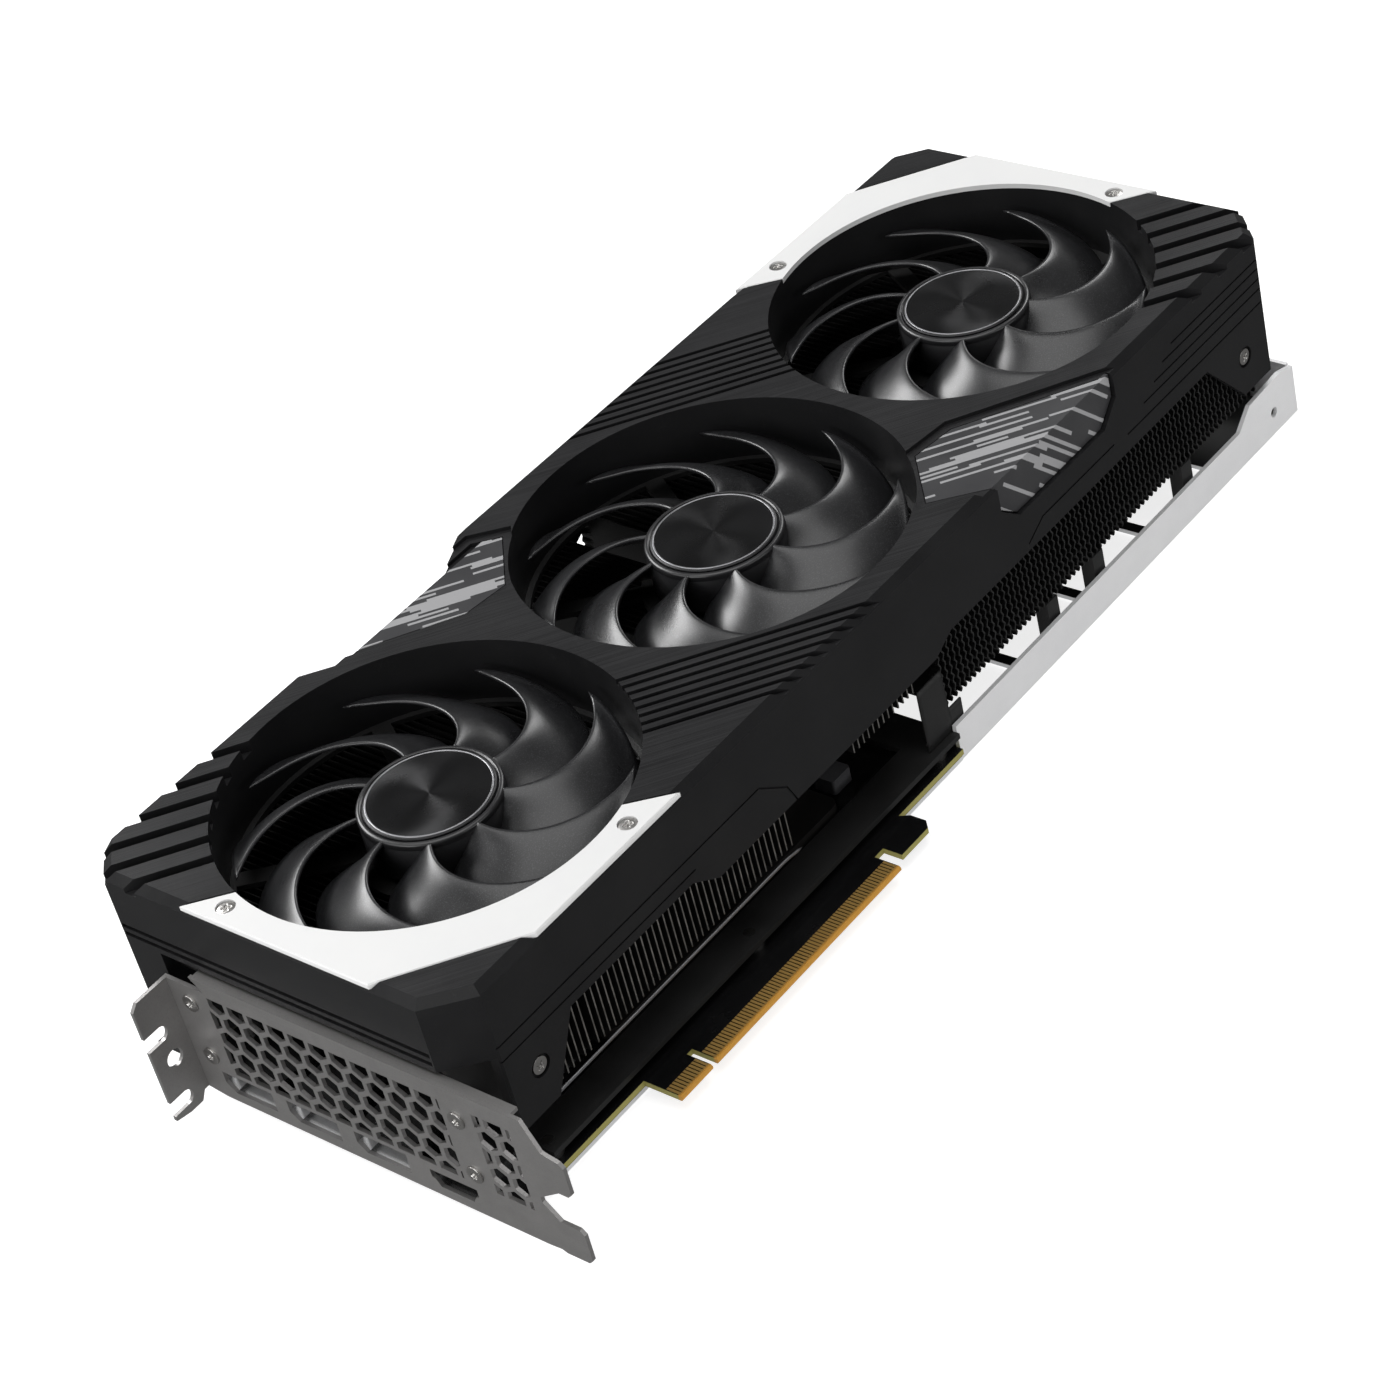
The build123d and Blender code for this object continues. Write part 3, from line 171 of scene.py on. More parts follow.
class Finish:
    # a Principled material whose colour, roughness and bump are built up from the shared groups

    def __init__(self, name, tint, tintTwo, rough, metal=0.0, aniso=0.0, specular=0.5):
        self.material = bpy.data.materials.new(name)
        self.material.use_nodes = True
        self.tree = self.material.node_tree
        self.tree.nodes.clear()
        self.shader = addNode(self.tree, "ShaderNodeBsdfPrincipled",
                              {"Metallic": metal, "Anisotropic": aniso, "Specular IOR Level": specular})
        addNode(self.tree, "ShaderNodeOutputMaterial", {"Surface": self.shader.outputs[0]})
        place = addNode(self.tree, "ShaderNodeTexCoord").outputs["Object"]
        self.place = addNode(self.tree, "ShaderNodeVectorMath", {0: place, "Scale": 1000.0},
                             operation="SCALE").outputs[0]
        self.parts = addNode(self.tree, "ShaderNodeSeparateXYZ", {"Vector": self.place}).outputs
        self.face = addNode(self.tree, "ShaderNodeSeparateXYZ",
                            {"Vector": addNode(self.tree, "ShaderNodeNewGeometry").outputs["Normal"]}).outputs
        self.patch = self.group(softMottle, "Factor", {"Scale": 0.045, "Contrast": 0.6})
        self.colour = mixColour(self.tree, self.patch, tint, tintTwo)
        self.rough = remap(self.tree, self.patch, 0.0, 1.0, rough[0], rough[1])
        self.height = None

    def group(self, kind, output, sockets):
        node = addNode(self.tree, "ShaderNodeGroup", node_tree=kind)
        self.tree.links.new(self.place, node.inputs["Vector"])
        for key, value in sockets.items():
            if isinstance(value, bpy.types.NodeSocket):
                self.tree.links.new(value, node.inputs[key])
            else:
                node.inputs[key].default_value = value
        return node.outputs[output]

    def paint(self, mask, colour):
        self.colour = mixColour(self.tree, mask, self.colour, colour)
        return self

    def roughen(self, mask, amount):
        self.rough = doMath(self.tree, "ADD", self.rough, doMath(self.tree, "MULTIPLY", mask, amount))
        return self

    def raiseBy(self, height):
        self.height = height if self.height is None else doMath(self.tree, "ADD", self.height, height)
        return self

    def grain(self, scale, depth, speckle=0.0, tint=(0.2, 0.2, 0.2)):
        self.raiseBy(self.group(fineGrain, "Height", {"Scale": scale, "Depth": depth}))
        if speckle:
            mask = self.group(fineGrain, "Speckle", {"Scale": scale, "Depth": depth})
            self.paint(doMath(self.tree, "MULTIPLY", mask, speckle), tint)
        return self

    def brush(self, angle, density, depth, tone=0.0, tint=(1, 1, 1), where=None):
        height = self.group(hairlines, "Height", {"Angle": radians(angle), "Density": density, "Depth": depth})
        line = self.group(hairlines, "Line", {"Angle": radians(angle), "Density": density, "Depth": depth})
        if where is not None:
            height = doMath(self.tree, "MULTIPLY", height, where)
            line = doMath(self.tree, "MULTIPLY", line, where)
        self.raiseBy(height)
        if tone:
            self.paint(doMath(self.tree, "MULTIPLY", line, tone), tint)
        return self

    def scuff(self, scale, amount, tint):
        mask = self.group(scuffs, "Mask", {"Scale": scale, "Amount": amount})
        return self.paint(mask, tint).roughen(mask, 0.15)

    def done(self):
        self.tree.links.new(self.colour, self.shader.inputs["Base Color"])
        self.tree.links.new(self.rough, self.shader.inputs["Roughness"])
        if self.height is not None:
            bump = addNode(self.tree, "ShaderNodeBump",
                           {"Height": self.height, "Distance": mm, "Strength": 1.0})
            self.tree.links.new(bump.outputs[0], self.shader.inputs["Normal"])
        return self.material


def dress(material, *names):
    for name in names:
        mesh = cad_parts[name].data
        mesh.materials.clear()
        mesh.materials.append(material)


# helpers that build meshes

def writeMesh(name, points, quads, material, smooth=True):
    mesh = bpy.data.meshes.new(name)
    mesh.vertices.add(len(points))
    mesh.vertices.foreach_set("co", (points * mm).astype(np.float32).ravel())
    mesh.loops.add(quads.size)
    mesh.loops.foreach_set("vertex_index", quads.astype(np.int32).ravel())
    mesh.polygons.add(len(quads))
    mesh.polygons.foreach_set("loop_start", np.arange(0, quads.size, 4, dtype=np.int32))
    mesh.update(calc_edges=True)
    mesh.validate()
    mesh.polygons.foreach_set("use_smooth", np.full(len(mesh.polygons), smooth))
    mesh.materials.append(material)
    piece = bpy.data.objects.new(name, mesh)
    bpy.context.scene.collection.objects.link(piece)
    return piece


def gridQuads(rows, columns, closed=False):
    # the four corners of every cell of a grid, going on round the last row if it is closed
    a = np.arange(rows * columns).reshape(rows, columns)
    if closed:
        a = np.vstack([a, a[:1]])
    return np.stack([a[:-1, :-1], a[1:, :-1], a[1:, 1:], a[:-1, 1:]], -1).reshape(-1, 4)


def slabQuads(rows, columns):
    # two grids back to back and the four strips that close their rims
    count = rows * columns
    a = np.arange(count).reshape(rows, columns)
    front = gridQuads(rows, columns)
    rim = np.concatenate([a[0, :], a[1:, -1], a[-1, -2::-1], a[-2::-1, 0]])
    strip = np.stack([rim[:-1], rim[1:], rim[1:] + count, rim[:-1] + count], -1)
    return np.vstack([front, front[:, ::-1] + count, strip[:, ::-1]])


def slabs(name, sheets, offset, material, smooth=True):
    # closed plates: each sheet of points moved half its thickness to either side
    many, rows, columns = sheets.shape[:3]
    front = (sheets + offset).reshape(many, -1, 3)
    back = (sheets - offset).reshape(many, -1, 3)
    points = np.concatenate([front, back], 1)
    quads = slabQuads(rows, columns)
    step = np.arange(many)[:, None, None] * (2 * rows * columns)
    return writeMesh(name, points.reshape(-1, 3), (quads[None] + step).reshape(-1, 4), material, smooth)


def closeUp(piece):
    # merge the doubles at poles and seams, then turn every face outward
    shell = bmesh.new()
    shell.from_mesh(piece.data)
    bmesh.ops.remove_doubles(shell, verts=shell.verts, dist=2e-6)
    bmesh.ops.dissolve_degenerate(shell, edges=shell.edges, dist=1e-7)
    bmesh.ops.recalc_face_normals(shell, faces=shell.faces)
    shell.to_mesh(piece.data)
    shell.free()
    return piece


def turnProfile(profile, centre, steps):
    # a profile of radius and height carried once round an upright axis
    angle = np.linspace(0, 2 * pi, steps, endpoint=False)
    radius, height = np.asarray(profile, float).T
    x = centre[0] + np.cos(angle)[:, None] * radius
    y = centre[1] + np.sin(angle)[:, None] * radius
    z = np.broadcast_to(height, x.shape)
    return np.stack([x, y, z], -1), gridQuads(steps, len(radius), True)


# the finishes

shroudFinish = Finish("shroudBlack", (0.007, 0.007, 0.0075), (0.010, 0.010, 0.0105), (0.30, 0.39),
                      specular=0.18)
onTop = remap(shroudFinish.tree, shroudFinish.face[2], 0.9, 0.98)
shroudFinish.grain(5.0, 0.012, 0.10, (0.05, 0.05, 0.052))
shroudFinish.brush(38.5, 4.5, 0.035, 0.30, (0.042, 0.042, 0.044), where=onTop)
shroudFinish.scuff(0.22, 0.15, (0.06, 0.06, 0.06))
shroudBlack = shroudFinish.done()

trimWhite = Finish("trimWhite", (0.62, 0.62, 0.615), (0.59, 0.59, 0.59), (0.30, 0.38)).grain(4.0, 0.004).scuff(
    0.2, 0.12, (0.6, 0.6, 0.6)).done()
fanBlack = Finish("fanBlack", (0.007, 0.007, 0.0075), (0.011, 0.011, 0.012), (0.25, 0.34), specular=0.5).grain(
    3.4, 0.013, 0.60, (0.075, 0.077, 0.082)).scuff(0.2, 0.1, (0.06, 0.06, 0.06)).done()
hubBlack = Finish("hubRimBlack", (0.010, 0.010, 0.011), (0.016, 0.016, 0.017), (0.26, 0.34)).grain(
    3.5, 0.005).done()
frameBlack = Finish("frameBlack", (0.006, 0.006, 0.006), (0.010, 0.010, 0.010), (0.45, 0.6)).grain(
    3.0, 0.02).done()
capBlack = Finish("capBlack", (0.013, 0.013, 0.0135), (0.018, 0.018, 0.019), (0.24, 0.32), metal=0.8,
                  aniso=0.9).grain(6.0, 0.002).done()
ringSilver = Finish("ringSilver", (0.30, 0.30, 0.31), (0.24, 0.24, 0.25), (0.34, 0.42), metal=0.9).grain(
    5.0, 0.002).done()
bracketSteel = Finish("bracketSteel", (0.40, 0.39, 0.385), (0.29, 0.285, 0.28), (0.30, 0.44), metal=0.85).brush(
    90, 3.0, 0.004, 0.15, (0.42, 0.41, 0.41)).grain(2.2, 0.006, 0.18, (0.12, 0.12, 0.12)).scuff(
    0.25, 0.5, (0.5, 0.5, 0.5)).done()
screwSteel = Finish("screwSteel", (0.55, 0.54, 0.52), (0.40, 0.39, 0.38), (0.22, 0.34), metal=1.0).grain(
    4.0, 0.006, 0.2, (0.2, 0.2, 0.2)).done()


def plateFinish(name):
    return Finish(name, (0.88, 0.88, 0.885), (0.80, 0.80, 0.81), (0.40, 0.50), metal=0.35).grain(
        4.5, 0.008, 0.12, (0.5, 0.5, 0.5)).scuff(0.2, 0.3, (0.9, 0.9, 0.9))


plateSilver = plateFinish("plateSilver").done()
# the backplate: the same plate finish with painted shade on its upward inner faces
innerShadeFinish = plateFinish("plateInnerShade")
innerShadeFinish.paint(remap(innerShadeFinish.tree, innerShadeFinish.face[2], 0.80, 0.90), (0.010, 0.010, 0.010))  # painted shade: near-black painted on the plate's upward inner faces, under the cooler
plateInnerShade = innerShadeFinish.done()
socketSteel = Finish("socketSteel", (0.75, 0.75, 0.76), (0.6, 0.6, 0.6), (0.18, 0.28), metal=1.0).grain(
    3.0, 0.004).done()
tongueSilver = Finish("tongueSilver", (0.78, 0.78, 0.79), (0.68, 0.68, 0.68), (0.3, 0.4), metal=0.2).grain(
    3.0, 0.006).done()
tongueBlack = Finish("tongueBlack", (0.012, 0.012, 0.012), (0.02, 0.02, 0.02), (0.35, 0.5)).grain(
    3.0, 0.01).done()
goldPlate = Finish("goldPlate", (0.62, 0.39, 0.12), (0.52, 0.31, 0.085), (0.30, 0.42), metal=0.6).grain(
    4.0, 0.006, 0.15, (0.35, 0.2, 0.05)).done()
copper = Finish("pipeCopper", (0.035, 0.033, 0.032), (0.05, 0.047, 0.045), (0.32, 0.42), metal=0.8).grain(
    2.0, 0.01).done()
chipBlack = Finish("chipBlack", (0.018, 0.018, 0.019), (0.028, 0.028, 0.028), (0.45, 0.6)).grain(
    4.0, 0.01).done()
siliconMirror = Finish("siliconMirror", (0.25, 0.26, 0.30), (0.3, 0.31, 0.35), (0.06, 0.12), metal=1.0).grain(
    2.0, 0.001).done()
packageGreen = Finish("packageGreen", (0.015, 0.055, 0.03), (0.02, 0.07, 0.04), (0.35, 0.5)).grain(
    3.0, 0.008).done()
padGrey = Finish("padGrey", (0.35, 0.37, 0.42), (0.28, 0.30, 0.34), (0.6, 0.75)).grain(2.0, 0.03).done()
chokeGrey = Finish("chokeGrey", (0.06, 0.06, 0.065), (0.09, 0.09, 0.095), (0.45, 0.6)).grain(
    2.4, 0.02, 0.3, (0.16, 0.16, 0.16)).done()
canMetal = Finish("canMetal", (0.72, 0.72, 0.73), (0.6, 0.6, 0.62), (0.2, 0.3), metal=1.0).grain(
    3.0, 0.004).done()
bronze = Finish("bearingBronze", (0.45, 0.28, 0.12), (0.35, 0.22, 0.1), (0.4, 0.5), metal=1.0).grain(
    3.0, 0.01).done()
magnetDark = Finish("magnetDark", (0.03, 0.03, 0.032), (0.045, 0.045, 0.047), (0.5, 0.65)).grain(
    2.0, 0.02).done()
shaftSteel = Finish("shaftSteel", (0.55, 0.55, 0.56), (0.45, 0.45, 0.46), (0.15, 0.25), metal=1.0).brush(
    0, 5.0, 0.003).done()
statorCopper = Finish("statorCopper", (0.40, 0.18, 0.06), (0.28, 0.12, 0.04), (0.28, 0.4), metal=0.8).brush(
    90, 2.0, 0.05).done()


def finMaterial(name, dark, highlightTint):
    # blackened sheet with a painted highlight on its faces that turn along y, patchy in strength
    fin = Finish(name, dark, tuple(1.5 * c for c in dark), (0.34, 0.44), metal=0.6)
    fin.grain(3.0, 0.006)
    # painted highlight: a light tint on the faces turned along y (the fin edges), broken into soft patches
    recessAndHighlight = remap(fin.tree, doMath(fin.tree, "ABSOLUTE", fin.face[1]), 0.6, 0.95)
    highlightFlicker = fin.group(softMottle, "Factor", {"Scale": 0.25, "Contrast": 0.9})
    return fin.paint(doMath(fin.tree, "MULTIPLY", recessAndHighlight, highlightFlicker), highlightTint).done()


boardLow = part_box("circuit_board")[0].y / mm


def boardMaterial():
    # gloss mask over faint raised traces, with the bare laminate showing on the cut edges
    board = Finish("boardBlack", (0.003, 0.003, 0.0033), (0.005, 0.005, 0.0053), (0.20, 0.30), specular=0.2)
    wave = addNode(board.tree, "ShaderNodeTexBrick", {"Vector": board.place, "Scale": 0.5, "Mortar Size": 0.03,
                   "Color1": (1, 1, 1, 1), "Color2": (0.6, 0.6, 0.6, 1), "Mortar": (0, 0, 0, 1)}).outputs[0]
    board.raiseBy(doMath(board.tree, "MULTIPLY", wave, 0.012))
    edge = remap(board.tree, doMath(board.tree, "ABSOLUTE", board.face[2]), 0.85, 0.5)
    layers = addNode(board.tree, "ShaderNodeTexWave", {"Vector": board.place, "Scale": 0.9},
                     bands_direction="Z").outputs[1]
    board.paint(edge, (0.24, 0.22, 0.055))
    board.paint(doMath(board.tree, "MULTIPLY", edge, layers), (0.33, 0.30, 0.11))
    finger = remap(board.tree, board.parts[1], boardLow + 1.4, boardLow + 0.9)
    return board.paint(finger, (0.50, 0.25, 0.045)).done()


# printed stripes of the two patterned panels
stripes = {"angle": 38.5, "pitch": 0.85, "length": 0.012, "cover": 0.545, "wallSlant": 0.62,
           "ink": (0.26, 0.26, 0.265), "ground": (0.022, 0.022, 0.024)}


def stripeMaterial():
    # rows of long broken dashes along the rib direction; their ends step from row to row
    panel = Finish("stripePanel", stripes["ground"], (0.036, 0.036, 0.038), (0.28, 0.36))
    tree, parts = panel.tree, panel.parts
    lean = radians(stripes["angle"])
    down = doMath(tree, "MULTIPLY", doMath(tree, "SUBTRACT", parts[2], topZ - 2.0), stripes["wallSlant"])
    across = doMath(tree, "ADD", doMath(tree, "ADD", doMath(tree, "MULTIPLY", parts[0], sin(lean)),
                    doMath(tree, "MULTIPLY", parts[1], cos(lean))), down)
    along = doMath(tree, "SUBTRACT", doMath(tree, "SUBTRACT", doMath(tree, "MULTIPLY", parts[0], cos(lean)),
                   doMath(tree, "MULTIPLY", parts[1], sin(lean))), down)
    row = doMath(tree, "FLOOR", doMath(tree, "DIVIDE", across, stripes["pitch"]))
    pair = doMath(tree, "FLOOR", doMath(tree, "DIVIDE", row, 2.0))
    stepped = doMath(tree, "SNAP", doMath(tree, "ADD", along, doMath(tree, "MULTIPLY", row, 2.7)), 1.6)
    spot = addNode(tree, "ShaderNodeCombineXYZ", {"X": doMath(tree, "MULTIPLY", stepped, stripes["length"] * 2),
                   "Y": doMath(tree, "MULTIPLY", row, 1.37),
                   "Z": doMath(tree, "MULTIPLY", pair, 0.9)}).outputs[0]
    dash = addNode(tree, "ShaderNodeTexNoise", {"Vector": spot, "Scale": 1.0, "Detail": 1.0}).outputs[0]
    inked = doMath(tree, "GREATER_THAN", dash, stripes["cover"])
    ragged = addNode(tree, "ShaderNodeTexNoise",
                     {"Vector": panel.place, "Scale": 0.9, "Detail": 3.0}).outputs[0]
    inked = doMath(tree, "MULTIPLY", inked, remap(tree, ragged, 0.24, 0.30))
    return panel.paint(inked, stripes["ink"]).grain(4.0, 0.004).done()


# the last colour of each is the painted highlight on the fin edges, faint on the rear fins
finBlack = finMaterial("finBlack", (0.012, 0.012, 0.012), (0.30, 0.29, 0.27))
rearFinBlack = finMaterial("rearFinBlack", (0.012, 0.012, 0.012), (0.045, 0.045, 0.045))
boardBlack = boardMaterial()
stripePanel = stripeMaterial()
print("stage: finishes made")

dress(shroudBlack, "shroud")
dress(trimWhite, "trim_plate_front", "trim_plate_rear")
dress(stripePanel, "pattern_panel_near", "pattern_panel_far")
dress(bracketSteel, "io_bracket", "retention_brace")
dress(socketSteel, "displayport_1", "displayport_2", "displayport_3", "hdmi_port")
dress(tongueSilver, "displayport_tongues")
dress(tongueBlack, "hdmi_tongue", "power_inlet")
dress(boardBlack, "circuit_board")
dress(goldPlate, "edge_contacts_front", "edge_contacts_back", "power_pins")
dress(packageGreen, "gpu_package")
dress(siliconMirror, "gpu_die")
dress(chipBlack, "memory_chips", "power_stages")
dress(padGrey, "thermal_pads")
dress(chokeGrey, "chokes")
dress(canMetal, "capacitors")
dress(copper, "cold_plate", "heat_pipes")
dress(finBlack, "fin_stack_front", "fin_stack_middle")
dress(rearFinBlack, "fin_stack_rear")
dress(frameBlack, "frame_plate", "standoffs", "fan_frame_1", "fan_frame_2", "fan_frame_3")
dress(screwSteel, "trim_screws", "side_screws", "board_screws", "spring_screws", "board_spacers",
      "bracket_screws")
dress(plateInnerShade, "backplate")
dress(plateSilver, "tail_flange")
dress(bronze, "fan_bearings")
for n in (1, 2, 3):
    dress(fanBlack, f"impeller_{n}")
    dress(capBlack, f"hub_cap_{n}")
    dress(magnetDark, f"rotor_magnet_{n}")
    dress(shaftSteel, f"fan_shaft_{n}")
    dress(statorCopper, f"fan_stator_{n}")


# the fan rotors

rotor = {"blades": 9, "turn": (29.0, 3.0, 22.0), "rootRadius": 16.9, "tipRadius": 47.3, "sweep": 46.0,
         "sweepPower": 1.75, "cover": 30.0, "belly": 5.0, "rootTop": 57.0, "tipTop": 55.0, "low": 47.1,
         "thickness": 0.75, "lip": 1.1, "hubRadius": 17.55, "hubDepth": 11.5, "steps": (34, 26),
         "turnSteps": 160}
cap = {"radius": 16.0, "ringRadius": 15.05, "ringLift": 0.30, "ringWide": 0.26, "ringTall": 0.16}


def rotorBlades(number):
    # over radius u and chord v: the angle leads by sweep * (1 - u^power) and falls back by cover * v, the
    # height drops from the front edge along v^1.3, and a lip curls up over the last tenth of the radius
    s = rotor
    u, v = np.meshgrid(np.linspace(0, 1, s["steps"][0]), np.linspace(0, 1, s["steps"][1]), indexing="ij")
    radius = s["rootRadius"] + (s["tipRadius"] - s["rootRadius"]) * u
    lead = -s["sweep"] * (1 - u ** s["sweepPower"])
    cover = s["cover"] + s["belly"] * np.sin(pi * u)
    first = np.radians(lead - cover * v)
    top = s["rootTop"] + (s["tipTop"] - s["rootTop"]) * u
    lip = s["lip"] * np.clip((u - 0.9) / 0.1, 0, 1) ** 2 * np.sin(pi * np.clip(v * 0.9 + 0.08, 0, 1)) ** 0.5
    height = top - (top - s["low"]) * v ** 1.3 - 0.9 * np.sin(pi * v) ** 2 * (1 - u) + lip
    turns = np.radians(s["turn"][number - 1] + 360.0 / s["blades"] * np.arange(s["blades"]))
    angle = first[None] + turns[:, None, None]
    sheet = np.stack([fanX[number - 1] + radius * np.cos(angle), fanY + radius * np.sin(angle),
                      np.broadcast_to(height, angle.shape)], -1)
    along = np.gradient(sheet, axis=1)
    across = np.gradient(sheet, axis=2)
    normal = np.cross(across, along)
    normal /= np.linalg.norm(normal, axis=-1, keepdims=True)
    thick = s["thickness"] * (0.28 + 0.72 * np.sin(pi * (0.06 + 0.88 * v)) ** 0.6) * (1.15 - 0.4 * u)
    return closeUp(slabs(f"rotorBlades{number}", sheet, normal * thick[None, :, :, None], fanBlack))


def rotorHub(number):
    # one cup turned from a profile: skirt, rounded shoulder, groove and inner wall
    r, z, low = rotor["hubRadius"], hubTop, hubTop - rotor["hubDepth"]
    shoulder = [(r - 0.9 * (1 - cos(a)), z - 0.7 + 0.7 * sin(a)) for a in np.linspace(0, pi / 2, 7)]
    profile = [(r - 1.3, low), (r - 0.4, low), (r, low + 0.4), (r, z - 2.2), (r - 0.12, z - 2.0),
               (r - 0.12, z - 1.7), (r, z - 1.5), *shoulder, (r - 1.15, z), (r - 1.3, z - 0.25),
               (r - 1.6, z - 0.25), (2.0, z - 0.25), (2.0, z - 1.6), (r - 1.3, z - 1.6), (r - 1.3, low)]
    points, quads = turnProfile(profile, (fanX[number - 1], fanY), rotor["turnSteps"])
    return closeUp(writeMesh(f"rotorHub{number}", points.reshape(-1, 3), quads, hubBlack))


def capDisc(number):
    # the face of the cap: a shallow dish that ends in a small bevel
    z = hubTop
    profile = [(0.001, z + 0.34), (4.0, z + 0.34), (9.0, z + 0.35), (14.6, z + 0.36), (14.9, z + 0.30),
               (15.9, z + 0.26), (cap["radius"], z + 0.1), (cap["radius"], z - 0.2), (0.001, z - 0.2)]
    points, quads = turnProfile(profile, (fanX[number - 1], fanY), rotor["turnSteps"])
    return closeUp(writeMesh(f"capDisc{number}", points.reshape(-1, 3), quads, capBlack))


def capRing(number):
    # a thin bright ring: a small oval carried round the cap
    a = np.linspace(0, 2 * pi, 13)
    profile = np.stack([cap["ringRadius"] + cap["ringWide"] * np.cos(a),
                        hubTop + cap["ringLift"] + cap["ringTall"] * np.sin(a)], -1)
    points, quads = turnProfile(profile, (fanX[number - 1], fanY), rotor["turnSteps"])
    return closeUp(writeMesh(f"capRing{number}", points.reshape(-1, 3), quads, ringSilver))


for n in (1, 2, 3):
    blades, hub, disc, ring = rotorBlades(n), rotorHub(n), capDisc(n), capRing(n)
    for piece in (blades, hub, disc, ring):
        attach(piece, f"fan_{n}")
    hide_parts(f"impeller_{n}")
    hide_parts(f"hub_cap_{n}")
print("stage: rotors made")


# the fins behind the tail, with folded wavy edges

fins = {"pitch": 2.0, "thickness": 0.22, "waveHeight": 2.7, "wave": 0.42}


def wavyFins():
    # each plate stands across the card; near both long edges its x swings like a triangle wave of the height
    low, high = [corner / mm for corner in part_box("fin_stack_rear")]
    count = int((high.x - low.x - 0.4) / fins["pitch"] + 0.5) + 1
    y = np.concatenate([low.y + np.array([0, 0.6, 2.5, 4.0]), high.y - np.array([4.0, 2.5, 0.6, 0])])
    z = np.linspace(low.z, high.z, 45)
    side = np.array([1, 1, 1, 0, 0, 1, 1, 1.0])
    swing = 2 * np.abs(2 * ((z / fins["waveHeight"]) % 1) - 1) - 1
    x = low.x + 0.2 + fins["pitch"] * np.arange(count)
    shift = fins["wave"] * side[:, None] * swing[None, :]
    places = np.broadcast_arrays(x[:, None, None] + shift[None], y[None, :, None], z[None, None, :])
    sheet = np.stack(places, -1)
    return closeUp(slabs("wavyFins", sheet, np.array([fins["thickness"], 0, 0]), rearFinBlack, smooth=False))


rearFins = wavyFins()
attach(rearFins, "card")
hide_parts("fin_stack_rear")
print("stage: fins made")


# the bright edge of the cooler's base frame

rail = {"start": 13.0, "end": 115.0, "height": 19.6, "wide": 0.45, "tall": 0.9, "inset": 1.3,
        "sections": 60, "sides": 16}


def frameRail():
    # a rounded bar: a superellipse of width and height carried along a path that dips at both ends
    sections, sides = rail["sections"], rail["sides"]
    a = np.linspace(0, 2 * pi, sides + 1)[:-1]
    ring = np.stack([np.sign(np.cos(a)) * np.abs(np.cos(a)) ** 0.6 * rail["wide"] / 2,
                     np.sign(np.sin(a)) * np.abs(np.sin(a)) ** 0.6 * rail["tall"] / 2], -1)
    t = np.linspace(0, 1, sections)
    swell = np.clip(np.minimum(t, 1 - t) / 0.004, 0.001, 1)
    x = bracketX + rail["start"] + (rail["end"] - rail["start"]) * t
    drop = 0.8 * np.clip((0.06 - np.minimum(t, 1 - t)) / 0.06, 0, 1)
    points = np.stack([np.broadcast_to(x[:, None], (sections, sides)),
                       shroudLow.y + rail["inset"] + ring[None, :, 0] * swell[:, None],
                       rail["height"] - drop[:, None] + ring[None, :, 1] * swell[:, None]], -1)
    quads = gridQuads(sides, sections, True)
    return closeUp(writeMesh("frameRail", points.transpose(1, 0, 2).reshape(-1, 3), quads, ringSilver))


frameEdge = frameRail()
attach(frameEdge, "card")


# dark sheet pieces that close the cooler's underside

ledge = {"start": 4.0, "end": 101.0, "height": 4.4, "thickness": 1.0, "inner": 54.7, "outer": 68.8,
         "beadHeight": 0.8, "beadWidth": 2.2, "fade": 6.0, "steps": (40, 28)}
cover = {"columns": (164.7, 174.2, 174.5, 179.5), "low": (8.7, 8.7, 1.4, 1.4), "high": (27.2, 27.2, 15.0, 15.0),
         "inset": 2.1, "thickness": 0.5, "bow": 0.12, "steps": (25, 9)}


def farLedge():
    # a tray beside the board: level, with one bead along its middle that rises as exp(-(distance / width)^2)
    x, y = np.meshgrid(bracketX + np.linspace(ledge["start"], ledge["end"], ledge["steps"][0]),
                       np.linspace(ledge["inner"], ledge["outer"], ledge["steps"][1]), indexing="ij")
    middle = (ledge["inner"] + ledge["outer"]) / 2
    fade = np.clip((x - x.min()) / ledge["fade"], 0, 1) * np.clip((x.max() - x) / ledge["fade"], 0, 1)
    z = ledge["height"] + ledge["beadHeight"] * np.exp(-((y - middle) / ledge["beadWidth"]) ** 2) * fade
    sheet = np.stack([x, y, z], -1)[None]
    return closeUp(slabs("farLedge", sheet, np.array([0, 0, ledge["thickness"] / 2]), frameBlack))


def tailCover():
    # an upright plate whose top and bottom lines step down past the board's end, bowed slightly over its height
    place = np.linspace(0, 3, cover["steps"][0])
    x = bracketX + np.interp(place, range(4), cover["columns"])
    t = np.linspace(0, 1, cover["steps"][1])
    low, high = (np.interp(place, range(4), cover[key]) for key in ("low", "high"))
    z = low[:, None] + (high - low)[:, None] * t
    y = shroudLow.y + cover["inset"] + cover["bow"] * np.sin(pi * t)[None, :] + 0 * z
    sheet = np.stack([x[:, None] + 0 * z, y, z], -1)[None]
    return closeUp(slabs("tailCover", sheet, np.array([0, cover["thickness"] / 2, 0]), frameBlack))


for piece in (farLedge(), tailCover()):
    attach(piece, "card")
print("stage: sheet pieces made")


# the screw heads

screws = {"recess": 0.55, "slotWidth": 0.42, "slotReach": 1.25, "starReach": 0.42, "soften": 0.12,
          "pole": 0.0002, "rings": 30, "steps": 72, "trim": (2.25, 0.75), "side": (2.2, 0.6), "rivet": (2.3, 0.65),
          "trimDrop": 1.0, "trimEnd": (5.0, 13.0), "trimCorner": (8.0, 4.6),
          "sidePlaces": ((21.8, 31.4), (311.5, 30.5)), "sideDrop": 0.7}


